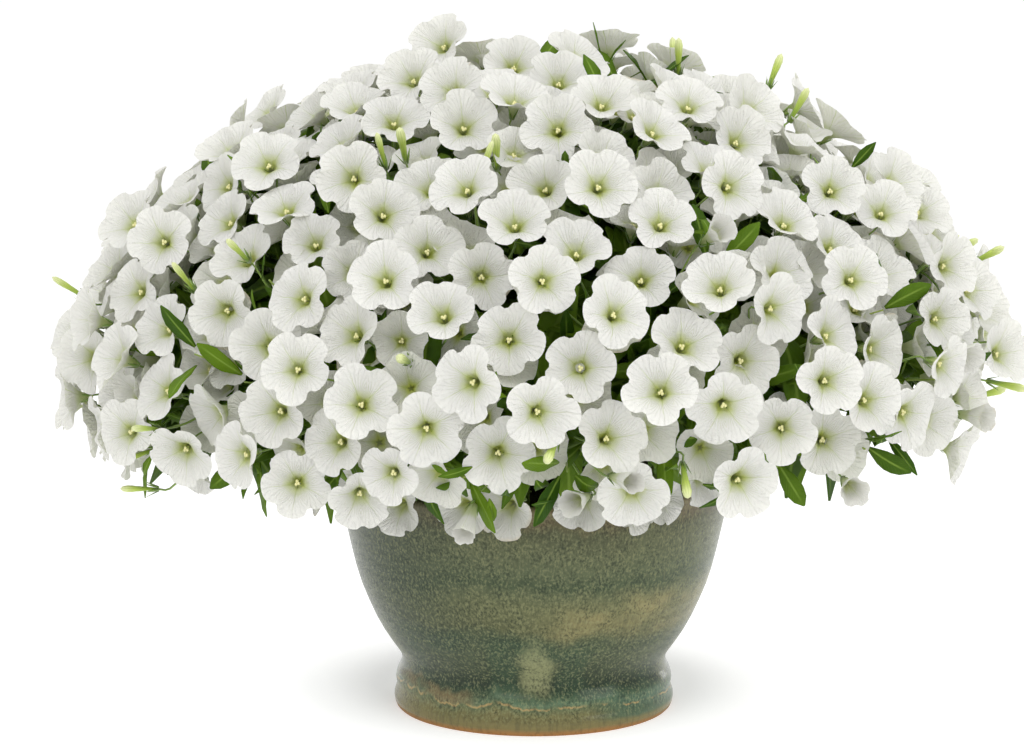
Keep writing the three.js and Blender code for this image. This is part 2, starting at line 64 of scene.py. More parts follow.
MM = 0.001
TURN = 2 * math.pi
GOLDEN_ANGLE = math.pi * (3 - math.sqrt(5))
# Corners nearer than this are one
TOUCHING = 1e-6
# Corners nearer than this to a line are on it
NEAR = 1e-5
# How deep a flower's face goes down to its throat
THROAT = 12 * MM
# How far behind the place of a bud its foot is
BUD_FOOT = 15.6 * MM
# How deep in the plant a flower is half hidden, from 0, outermost, to 1
HIDDEN = 0.06
UP = np.array([0.0, 0.0, 1.0])
EAST = np.array([1.0, 0.0, 0.0])


# Small helpers for directions, meshes and node trees


class Chance:
    """Even random numbers from 0 to 1, the same ones each time for a seed."""

    def __init__(self, seed: int) -> None:
        """Starts the row of numbers at a seed."""
        self.state = seed

    def __call__(self) -> float:
        """Returns the next number."""
        self.state = (self.state * 1664525 + 1013904223) % 2**32
        return self.state / 2**32

    def around(self, middle: float, spread: float) -> float:
        """Returns a number within a spread on both sides of a middle."""
        return middle + spread * (2 * self() - 1)


def between(ends: Pair, share: float) -> float:
    """Returns the number at a share of the way from one to another."""
    low, high = ends
    return low + (high - low) * share


def unit(vector: Array) -> Array:
    """Returns a vector's direction, at length one."""
    return vector / np.linalg.norm(vector)


def cross_axes(direction: Array) -> tuple[Array, Array]:
    """Finds two unit vectors square to a direction and to each other.

    Args:
        direction: The unit vector that both are square to.

    Returns:
        The sideways and the crosswise vector.
    """
    helper = UP if abs(direction[2]) < 0.9 else EAST
    side = unit(np.cross(helper, direction))
    return side, np.cross(direction, side)


def leaning(axes: Axes, angle: float, lean: float) -> Array:
    """Finds the direction at an angle round a place and a lean away from the way it faces.

    Args:
        axes: The place's sideways, crosswise and outward directions.
        angle: The angle round the outward direction.
        lean: How far the direction leans away from it.

    Returns:
        The unit vector of that direction.
    """
    side, cross, out = axes
    across = math.sin(lean)
    return across * (math.cos(angle) * side + math.sin(angle) * cross) + math.cos(lean) * out


def blade_axes(axes: Axes, angle: float, lean: float) -> Axes:
    """Finds how a blade stands at an angle round a place and a lean away from the way it faces.

    Args:
        axes: The place's sideways, crosswise and outward directions.
        angle: The angle round the outward direction.
        lean: How far the blade leans away from it.

    Returns:
        The directions along and across the blade, and the one that it faces.
    """
    along = leaning(axes, angle, lean)
    across = leaning(axes, angle + math.pi / 2, math.pi / 2)
    return along, across, np.cross(along, across)


def drooped(out: Array, droop: float) -> Array:
    """Returns an outward direction, with only a share of its slope where it points down."""
    return unit(out * [1, 1, droop if out[2] < 0 else 1])


def deselect() -> None:
    """Leaves edit mode and deselects every object."""
    if bpy.context.object and bpy.context.object.mode != "OBJECT":
        bpy.ops.object.mode_set(mode="OBJECT")
    bpy.ops.object.select_all(action="DESELECT")


def activate(thing: Thing) -> None:
    """Makes an object the only selected one and the active one."""
    deselect()
    thing.select_set(True)
    bpy.context.view_layer.objects.active = thing


def started(name: str, primitive: Callable[..., object], **sizes: object) -> Thing:
    """Starts a model from one of the mesh primitives.

    Args:
        name: The model's name.
        primitive: The operator that adds the primitive.
        sizes: The operator's settings.

    Returns:
        The model, active and selected.
    """
    deselect()
    primitive(**sizes)
    thing = bpy.context.object
    thing.name = thing.data.name = name
    return thing


def edit_all() -> None:
    """Goes into edit mode with everything selected."""
    bpy.ops.object.mode_set(mode="EDIT")
    bpy.ops.mesh.select_all(action="SELECT")


def close_up() -> None:
    """Turns the selected faces outwards, and leaves edit mode."""
    bpy.ops.mesh.normals_make_consistent(inside=False)
    bpy.ops.object.mode_set(mode="OBJECT")


def pick(thing: Thing, wanted: Callable[[Vector], bool]) -> None:
    """Selects vertices in edit mode by their place.

    Args:
        thing: The object that is in edit mode.
        wanted: Says whether the vertex at a place is selected.
    """
    body = bmesh.from_edit_mesh(thing.data)
    for vertex in body.verts:
        vertex.select = wanted(vertex.co)
    body.select_flush_mode()
    bmesh.update_edit_mesh(thing.data)


def apply_place(thing: Thing) -> None:
    """Moves an object's place, turn and scale into its mesh."""
    activate(thing)
    bpy.ops.object.transform_apply(location=True, rotation=True, scale=True)


def turned_up(name: str, sides: int, form: Sequence[Pair]) -> Thing:
    """Models a closed form of revolution: a disc, extruded and resized ring by ring.

    Args:
        name: The object's name.
        sides: The corners of each ring.
        form: The radius and height of each ring in millimetres, from the flat end to the end
            that is merged to a point.

    Returns:
        The object, with its place in its mesh.
    """
    profile = [(radius * MM, height * MM) for radius, height in form]
    radius, height = profile[0]
    thing = started(
        name, bpy.ops.mesh.primitive_circle_add, vertices=sides, radius=radius, fill_type="NGON",
        location=(0, 0, height),
    )
    apply_place(thing)
    edit_all()
    for (radius, height), (wider, higher) in zip(profile, profile[1:]):
        bpy.ops.mesh.extrude_region_move(TRANSFORM_OT_translate={"value": (0, 0, higher - height)})
        grow = wider / radius
        bpy.ops.transform.resize(value=(grow, grow, 1), center_override=(0, 0, higher))
    bpy.ops.mesh.merge(type="CENTER")
    bpy.ops.mesh.select_all(action="SELECT")
    close_up()
    bpy.ops.object.shade_smooth()
    return thing


def corners_of(mesh: bpy.types.Mesh) -> Array:
    """Returns a mesh's vertices as rows of x, y and z."""
    flat = np.empty(len(mesh.vertices) * 3)
    mesh.vertices.foreach_get("co", flat)
    return flat.reshape(-1, 3)


def move_corners(mesh: bpy.types.Mesh, places: Array) -> None:
    """Puts a mesh's vertices at rows of x, y and z."""
    mesh.vertices.foreach_set("co", np.asarray(places, dtype=np.float32).ravel())
    mesh.update()


def gather(name: str, parts: Sequence[Thing]) -> Thing:
    """Joins objects into one piece.

    Args:
        name: The piece's name.
        parts: The objects, which the piece takes in.

    Returns:
        The piece.
    """
    deselect()
    for part in parts:
        part.select_set(True)
    bpy.context.view_layer.objects.active = parts[0]
    bpy.ops.object.join()
    piece = bpy.context.object
    piece.name = piece.data.name = name
    return piece


class Mould:
    """A form that is modelled once and cast any number of times, each cast with its own mesh."""

    def __init__(self, model: Thing, flat: Callable[[Array], Array]) -> None:
        """Takes over a model.

        Args:
            model: The modelled form, which is removed when the mould is closed.
            flat: Gives the surface pattern's two coordinates, from 0 to 1, for rows of places.
        """
        self.model = model
        self.corners = corners_of(model.data)
        normals = np.empty(len(self.corners) * 3)
        model.data.vertices.foreach_get("normal", normals)
        self.under = (normals.reshape(-1, 3)[:, 2] < 0).astype(float)
        loops = np.empty(len(model.data.loops), dtype=np.int64)
        model.data.loops.foreach_get("vertex_index", loops)
        self.pattern = flat(self.corners)[loops]
        faces = [(f.loop_start, f.loop_total, f.normal.z < 0) for f in model.data.polygons]
        self.back = np.zeros(len(loops))
        for start, total, is_back in faces:
            self.back[start : start + total] = is_back

    def cast(self, places: Array, chance: float, deep: float, tile: tuple[float, ...]) -> Thing:
        """Casts one copy.

        Args:
            places: Where the copy's vertices are.
            chance: The copy's own random number, which its finish reads.
            deep: How deep in the plant it grows, from 0, outermost, to 1, for the painted shade of
                petals and leaves.
            tile: The left edge, lower edge and side of the copy's place in the baking map.

        Returns:
            The copy.
        """
        copy = self.model.copy()
        copy.data = self.model.data.copy()
        bpy.context.scene.collection.objects.link(copy)
        mesh = copy.data
        move_corners(mesh, places)
        for layer in list(mesh.uv_layers):
            mesh.uv_layers.remove(layer)
        mesh.uv_layers.new(name="pattern").data.foreach_set("uv", self.pattern.ravel())
        left, low, side = tile
        # The two sides of a copy lie next to each other on its tile, with a margin
        spot = self.pattern * [0.46, 0.92] + [0.02, 0.04]
        spot[:, 0] += 0.5 * self.back
        spot = spot * side + [left, low]
        mesh.uv_layers.new(name="OFBake").data.foreach_set("uv", spot.ravel())
        own = np.ones((len(self.corners), 4))
        own[:, 0], own[:, 1], own[:, 2] = self.under, chance, deep
        mesh.attributes.new("own", "FLOAT_COLOR", "POINT").data.foreach_set("color", own.ravel())
        return copy

    def close(self) -> None:
        """Removes the model once its copies are cast."""
        bpy.data.objects.remove(self.model)


def tiles(count: int) -> list[Triple]:
    """Splits the baking map into square tiles.

    Args:
        count: How many are needed.

    Returns:
        The left edge, lower edge and side of each tile.
    """
    across = math.ceil(math.sqrt(max(count, 1)))
    return [(i % across / across, i // across / across, 1 / across) for i in range(count)]


def cast_piece(name: str, copies: Sequence[tuple[Mould, Array, float, float]]) -> Thing:
    """Casts copies and joins them in one piece.

    Args:
        name: The piece's name.
        copies: The mould, vertices, chance and depth of each copy.

    Returns:
        The piece.
    """
    casts = [mould.cast(*own, tile) for (mould, *own), tile in zip(copies, tiles(len(copies)))]
    return gather(name, casts)


def smooth_run(points: Sequence[Array], steps: int) -> Array:
    """Draws a smooth line through points.

    Args:
        points: The points, in order.
        steps: The points drawn for each stretch between two of them.

    Returns:
        The line's points as rows.
    """
    ends = [2 * points[0] - points[1], *points, 2 * points[-1] - points[-2]]
    line = []
    for a, b, c, d in zip(ends, ends[1:], ends[2:], ends[3:]):
        for i in range(steps):
            t = i / steps
            line.append(
                0.5 * (2 * b + (c - a) * t + (2 * a - 5 * b + 4 * c - d) * t**2
                       + (3 * b - a - 3 * c + d) * t**3)
            )
    return np.array([*line, points[-1]])


def tubes(name: str, runs: Runs, roundness: int) -> Thing:
    """Models round stems along lines, with closed ends.

    Args:
        name: The object's name.
        runs: The points and the radii of each stem.
        roundness: The curve's bevel resolution.

    Returns:
        The stems as one mesh object.
    """
    curve = bpy.data.curves.new(name, "CURVE")
    curve.dimensions = "3D"
    curve.bevel_depth = 1
    curve.bevel_resolution = roundness
    curve.use_fill_caps = True
    for points, radii in runs:
        spline = curve.splines.new("POLY")
        spline.points.add(len(points) - 1)
        spline.points.foreach_set("co", np.column_stack([points, np.ones(len(points))]).ravel())
        spline.points.foreach_set("radius", np.asarray(radii, dtype=float))
    thing = bpy.data.objects.new(name, curve)
    bpy.context.scene.collection.objects.link(thing)
    activate(thing)
    bpy.ops.object.convert(target="MESH")
    thing = bpy.context.object
    thing.name = thing.data.name = name
    edit_all()
    bpy.ops.mesh.remove_doubles(threshold=TOUCHING)
    close_up()
    bpy.ops.object.shade_smooth()
    return thing


class Blend(Enum):
    """How one colour is laid over another."""

    MIX = "MIX"
    MULTIPLY = "MULTIPLY"


class Nodes:
    """A material's node tree, with the few kinds of node that the finishes are made of."""

    def __init__(self, name: str) -> None:
        """Starts a material with an empty tree."""
        self.material = bpy.data.materials.new(name)
        self.material.use_nodes = True
        self.tree = self.material.node_tree
        self.tree.nodes.clear()
        self.output = self.tree.nodes.new("ShaderNodeOutputMaterial")

    def add(self, kind: str, **settings: object) -> bpy.types.Node:
        """Adds a node and sets its properties."""
        node = self.tree.nodes.new(kind)
        for name, value in settings.items():
            setattr(node, name, value)
        return node

    def feed(self, socket: Socket, value: object) -> None:
        """Links an output to a socket, or sets a constant on it."""
        if isinstance(value, Socket):
            self.tree.links.new(value, socket)
        elif isinstance(value, tuple) and len(value) == 3 and socket.type == "RGBA":
            socket.default_value = (*value, 1)
        else:
            socket.default_value = value

    def out(self, node: bpy.types.Node, *values: object) -> Socket:
        """Feeds values to a node's first sockets, and gives its first output."""
        for socket, value in zip(node.inputs, values):
            self.feed(socket, value)
        return node.outputs[0]

    def calc(self, operation: str, *values: object) -> Socket:
        """Works out a Math node's operation on values."""
        return self.out(self.add("ShaderNodeMath", operation=operation), *values)

    def times(self, first: object, second: object) -> Socket:
        """Multiplies two values."""
        return self.calc("MULTIPLY", first, second)

    def plus(self, first: object, second: object) -> Socket:
        """Adds two values."""
        return self.calc("ADD", first, second)

    def minus(self, first: object, second: object) -> Socket:
        """Takes a second value from a first."""
        return self.calc("SUBTRACT", first, second)

    def line(self, value: object, slope: object, start: object) -> Socket:
        """Multiplies a value by a slope, and adds it to a start."""
        return self.calc("MULTIPLY_ADD", value, slope, start)

    def span(self, value: object, low: float, high: float) -> Socket:
        """Maps a value from low..high to 0..1, smoothly and clamped."""
        node = self.add("ShaderNodeMapRange", interpolation_type="SMOOTHSTEP")
        return self.out(node, value, low, high, 0.0, 1.0)

    def between(self, share: object, low: object, high: object) -> Socket:
        """Goes from a low to a high value by a share."""
        return self.plus(low, self.times(share, self.minus(high, low)))

    def mix(self, share: object, under: object, over: object, blend: Blend = Blend.MIX) -> Socket:
        """Lays one colour over another by a share."""
        node = self.add("ShaderNodeMix", data_type="RGBA", blend_type=blend.value)
        self.feed(node.inputs[0], share)
        self.feed(node.inputs[6], under)
        self.feed(node.inputs[7], over)
        return node.outputs[2]

    def noise(
        self, vector: object, scale: float, detail: float = 2, roughness: float = 0.5
    ) -> Socket:
        """Gives a noise's value at a place."""
        node = self.add("ShaderNodeTexNoise")
        return self.named(node, Vector=vector, Scale=scale, Detail=detail, Roughness=roughness)

    def ramp(self, value: object, stops: Sequence[tuple[float, Colour]]) -> Socket:
        """Colours a value by stops from 0 to 1."""
        node = self.add("ShaderNodeValToRGB")
        self.feed(node.inputs[0], value)
        elements = node.color_ramp.elements
        elements.remove(elements[1])
        for i, (place, colour) in enumerate(stops):
            element = elements[0] if i == 0 else elements.new(place)
            element.position = place
            element.color = (*colour, 1)
        return node.outputs[0]

    def place(self) -> Socket:
        """Gives the object coordinates."""
        return self.add("ShaderNodeTexCoord").outputs["Object"]

    def parts(self, vector: object) -> tuple[Socket, ...]:
        """Splits a vector into x, y and z."""
        node = self.add("ShaderNodeSeparateXYZ")
        self.feed(node.inputs[0], vector)
        return tuple(node.outputs)

    def whole(self, x: object, y: object, z: object) -> Socket:
        """Makes a vector of x, y and z."""
        return self.out(self.add("ShaderNodeCombineXYZ"), x, y, z)

    def own(self) -> tuple[Socket, ...]:
        """Gives a copy's underside, chance and depth, from its attribute."""
        node = self.add("ShaderNodeAttribute", attribute_name="own")
        split = self.add("ShaderNodeSeparateColor")
        self.feed(split.inputs[0], node.outputs["Color"])
        return tuple(split.outputs)

    def pattern(self) -> tuple[Socket, ...]:
        """Gives the two coordinates of a piece's own surface pattern."""
        return self.parts(self.add("ShaderNodeUVMap", uv_map="pattern").outputs[0])[:2]

    def bump(self, height: object, depth: float, strength: float) -> Socket:
        """Gives the normal of a relief."""
        node = self.add("ShaderNodeBump")
        return self.named(node, Strength=strength, Distance=depth, Height=height)

    def named(self, node: bpy.types.Node, **values: object) -> Socket:
        """Feeds values to a node's sockets by their names, with spaces as underscores."""
        for name, value in values.items():
            self.feed(node.inputs[name.replace("_", " ")], value)
        return node.outputs[0]

    def surface(self, **settings: object) -> Socket:
        """Adds the surface shader, with its sockets set by name."""
        return self.named(self.add("ShaderNodeBsdfPrincipled"), **settings)

    def finish(self, shader: Socket) -> Material:
        """Ends the tree in a shader and returns the material."""
        self.feed(self.output.inputs[0], shader)
        return self.material

    def let_light_through(
        self, shader: Socket, share: float, colour: object, normal: object
    ) -> Socket:
        """Mixes in light that comes through a thin blade."""
        through = self.out(self.add("ShaderNodeBsdfTranslucent"), colour, normal)
        return self.out(self.add("ShaderNodeMixShader"), share, shader, through)


# Finishes


@dataclass(frozen=True)
class PetalFinish:
    """White, papery petals with a green throat, green midribs and branching veins."""

    white: Colour = (0.955, 0.945, 0.935)
    back_white: Colour = (0.94, 0.94, 0.90)
    # The throat's green darkened by painted shade, deep in the tube
    painted_throat_shade: Colour = (0.15, 0.18, 0.008)
    throat: Colour = (0.56, 0.64, 0.035)
    throat_rim: Colour = (0.76, 0.83, 0.18)
    throat_glow: Colour = (0.88, 0.92, 0.60)
    vein: Colour = (0.52, 0.65, 0.13)
    grey: Colour = (0.70, 0.72, 0.70)
    back_tube: Colour = (0.44, 0.58, 0.09)
    back_throat: Colour = (0.68, 0.78, 0.36)
    # Painted shade, laid over flowers that grow deeper in the plant
    inside_shade: Colour = (0.93, 0.945, 0.86)
    through: Colour = (0.94, 0.94, 0.87)
    share_through: float = 0.38
    tan: Colour = (0.72, 0.56, 0.36)
    roughness: float = 0.5

    def material(self) -> Material:
        """Makes the material."""
        n = Nodes("petal_white")
        u, v = n.pattern()
        x = n.line(u, 2.0, -1.0)
        y = n.line(v, 2.0, -1.0)
        reach = n.calc("SQRT", n.plus(n.times(x, x), n.times(y, y)))
        angle = n.calc("ARCTAN2", y, x)
        under, chance, deep = n.own()
        stray = n.noise(n.whole(x, y, n.times(chance, 60.0)), 4.0, 3)
        petal = n.times(angle, 5 / TURN)
        petal = n.line(n.minus(stray, 0.5), 0.12, petal)
        across = n.calc("ABSOLUTE", n.calc("WRAP", petal, 0.5, -0.5))
        rib, side_veins = self.veins(n, reach, across, stray)
        warped = n.line(n.minus(stray, 0.5), 0.16, reach)
        starry = n.line(n.minus(0.25, across), -0.16, warped)
        # The first stop, deep in the tube, is the throat's green darkened by painted shade
        front = n.ramp(
            starry,
            (
                (0.06, self.painted_throat_shade), (0.10, self.throat), (0.16, self.throat_rim),
                (0.24, self.throat_glow), (0.38, self.white),
            ),
        )
        green = n.times(rib, n.span(reach, 0.90, 0.18))
        front = n.mix(n.times(green, 0.9), front, self.vein)
        short = n.times(side_veins, n.span(reach, 0.70, 0.16))
        front = n.mix(n.times(short, 0.9), front, self.vein)
        front = n.mix(n.times(side_veins, 0.12), front, self.grey)
        back = n.ramp(
            warped, ((0.09, self.back_tube), (0.20, self.back_throat), (0.42, self.back_white))
        )
        back = n.mix(n.times(rib, 0.75), back, self.vein)
        back = n.mix(n.times(side_veins, 0.20), back, self.vein)
        colour = n.mix(under, front, back)
        # A few old flowers are tan at the edge
        old = n.times(n.span(chance, 0.90, 0.97), n.span(warped, 0.84, 1.02))
        colour = n.mix(n.times(old, 0.65), colour, self.tan)
        # Painted shade on flowers deeper in the plant, and a slightly darker tone on some at random
        shade = n.line(deep, 0.75, n.times(n.span(chance, 0.55, 1.0), 0.1))
        colour = n.mix(shade, colour, self.inside_shade, Blend.MULTIPLY)
        # Papery skin: soft crinkles along the petal, and a finer grain
        along = n.whole(n.times(petal, 9.0), n.times(reach, 3.0), chance)
        crinkle = n.noise(along, 1.25, 3, 0.6)
        grain = n.noise(n.whole(x, y, chance), 26.0, 1, 0.6)
        relief = n.line(grain, 0.5, crinkle)
        relief = n.line(side_veins, -0.25, relief)
        relief = n.line(rib, -0.25, relief)
        normal = n.bump(relief, 2.4 * MM, 0.68)
        shader = n.surface(
            Base_Color=colour, Roughness=self.roughness, Specular_IOR_Level=0.25, Normal=normal,
        )
        shader = n.let_light_through(shader, self.share_through, self.through, normal)
        return n.finish(shader)

    def veins(
        self, n: Nodes, reach: Socket, across: Socket, stray: Socket
    ) -> tuple[Socket, Socket]:
        """Draws each petal's midrib, and the veins that fan out beside it.

        Args:
            n: The petal's nodes.
            reach: How far out a place is, from 0 to 1.
            across: How far it is from the midrib, from 0 to 0.5.
            stray: A noise that makes the veins wander.

        Returns:
            The midrib, and the veins beside it, each as a value from 0 to 1.
        """
        width = n.calc("DIVIDE", across, n.line(reach, -0.016, 0.030))
        rib = n.minus(1.0, n.span(width, 0.0, 1.6))
        fan = n.calc("DIVIDE", across, n.line(reach, 0.62, 0.06))
        fan = n.line(stray, 0.10, fan)
        lines = n.calc("COSINE", n.times(fan, TURN / 0.27))
        lines = n.calc("POWER", n.line(lines, 0.5, 0.5), 5.0)
        return rib, n.times(lines, n.span(reach, 0.10, 0.16))


@dataclass(frozen=True)
class LeafFinish:
    """Narrow, slightly sticky leaves with a pale midrib."""

    dark: Colour = (0.032, 0.088, 0.004)
    light: Colour = (0.160, 0.280, 0.012)
    rib: Colour = (0.28, 0.42, 0.06)
    underside: Colour = (0.15, 0.24, 0.04)
    # Painted shade, laid over leaves that grow deeper in the plant
    inside_shade: Colour = (0.30, 0.34, 0.20)
    through: Colour = (0.28, 0.46, 0.01)
    share_through: float = 0.25
    roughness: float = 0.46

    def material(self) -> Material:
        """Makes the material."""
        n = Nodes("leaf_green")
        along, across = n.pattern()
        under, chance, deep = n.own()
        place = n.place()
        patch = n.noise(place, 60.0, 3)
        tone = n.line(patch, 0.5, n.line(chance, 0.8, -0.2))
        colour = n.mix(n.span(tone, 0.0, 1.0), self.dark, self.light)
        aside = n.calc("ABSOLUTE", n.minus(across, 0.5))
        rib = n.times(n.span(aside, 0.075, 0.02), n.span(along, 1.0, 0.6))
        slant = n.line(aside, -0.55, along)
        veins = n.calc("SINE", n.times(slant, 70.0))
        colour = n.mix(n.times(rib, 0.75), colour, self.rib)
        colour = n.mix(n.times(under, 0.45), colour, self.underside)
        # Painted shade on the leaves deeper in the plant
        colour = n.mix(n.times(deep, 0.35), colour, self.inside_shade, Blend.MULTIPLY)
        relief = n.line(rib, -2.0, n.times(veins, 0.35))
        normal = n.bump(relief, 0.4 * MM, 0.4)
        shader = n.surface(
            Base_Color=colour, Roughness=self.roughness, Specular_IOR_Level=0.14, Normal=normal,
        )
        shader = n.let_light_through(shader, self.share_through, self.through, normal)
        return n.finish(shader)


@dataclass(frozen=True)
class StemFinish:
    """Juicy green skin with a fine down, on stems, stalks, sepals and buds."""

    name: str = "stem_green"
    colour: Colour = (0.20, 0.31, 0.05)
    other: Colour = (0.33, 0.42, 0.08)
    roughness: float = 0.45

    def material(self) -> Material:
        """Makes the material."""
        n = Nodes(self.name)
        place = n.place()
        patch = n.span(n.noise(place, 35.0, 3), 0.3, 0.7)
        colour = n.mix(patch, self.colour, self.other)
        fine = n.noise(place, 900.0, 2)
        normal = n.bump(fine, 0.2 * MM, 0.3)
        shader = n.surface(
            Base_Color=colour, Roughness=self.roughness, Specular_IOR_Level=0.35, Sheen_Weight=0.25,
            Sheen_Roughness=0.5, Normal=normal,
        )
        return n.finish(shader)


@dataclass(frozen=True)
class AntherFinish:
    """Pale yellow anthers."""

    colour: Colour = (0.80, 0.77, 0.40)

    def material(self) -> Material:
        """Makes the material."""
        n = Nodes("anther_yellow")
        return n.finish(n.surface(Base_Color=self.colour, Roughness=0.6, Specular_IOR_Level=0.3))


@dataclass(frozen=True)
class BudFinish:
    """Pleated buds, green at the foot and cream at the tip."""

    foot: Colour = (0.30, 0.44, 0.04)
    middle: Colour = (0.50, 0.63, 0.11)
    tip: Colour = (0.76, 0.80, 0.42)
    fold: Colour = (0.30, 0.40, 0.10)

    def material(self) -> Material:
        """Makes the material."""
        n = Nodes("bud_cream")
        along, around = n.pattern()
        colour = n.ramp(along, ((0.30, self.foot), (0.62, self.middle), (0.95, self.tip)))
        pleats = n.calc("SINE", n.times(around, 62.0))
        colour = n.mix(n.times(n.span(pleats, 0.2, 1.0), 0.35), colour, self.fold)
        return n.finish(
            n.surface(
                Base_Color=colour, Roughness=0.5, Specular_IOR_Level=0.3, Sheen_Weight=0.2,
                Normal=n.bump(pleats, 0.3 * MM, 0.4),
            )
        )


@dataclass(frozen=True)
class SoilFinish:
    """Moist potting mix: dark peat with brown fibres."""

    dark: Colour = (0.012, 0.008, 0.005)
    brown: Colour = (0.055, 0.034, 0.020)

    def material(self) -> Material:
        """Makes the material."""
        n = Nodes("potting_soil")
        place = n.place()
        crumb = n.noise(place, 180.0, 5, 0.65)
        colour = n.mix(n.span(crumb, 0.35, 0.72), self.dark, self.brown)
        normal = n.bump(n.noise(place, 420.0, 4, 0.7), 1.2 * MM, 0.8)
        shader = n.surface(Base_Color=colour, Roughness=0.92, Specular_IOR_Level=0.2, Normal=normal)
        return n.finish(shader)


@dataclass(frozen=True)
class PerliteFinish:
    """Light, porous white crumbs in the potting mix."""

    white: Colour = (0.70, 0.68, 0.62)
    pore: Colour = (0.40, 0.36, 0.30)

    def material(self) -> Material:
        """Makes the material."""
        n = Nodes("perlite")
        pores = n.noise(n.place(), 1500.0, 2)
        colour = n.mix(n.span(pores, 0.35, 0.6), self.pore, self.white)
        shader = n.surface(Base_Color=colour, Roughness=0.85, Normal=n.bump(pores, 0.3 * MM, 0.6))
        return n.finish(shader)


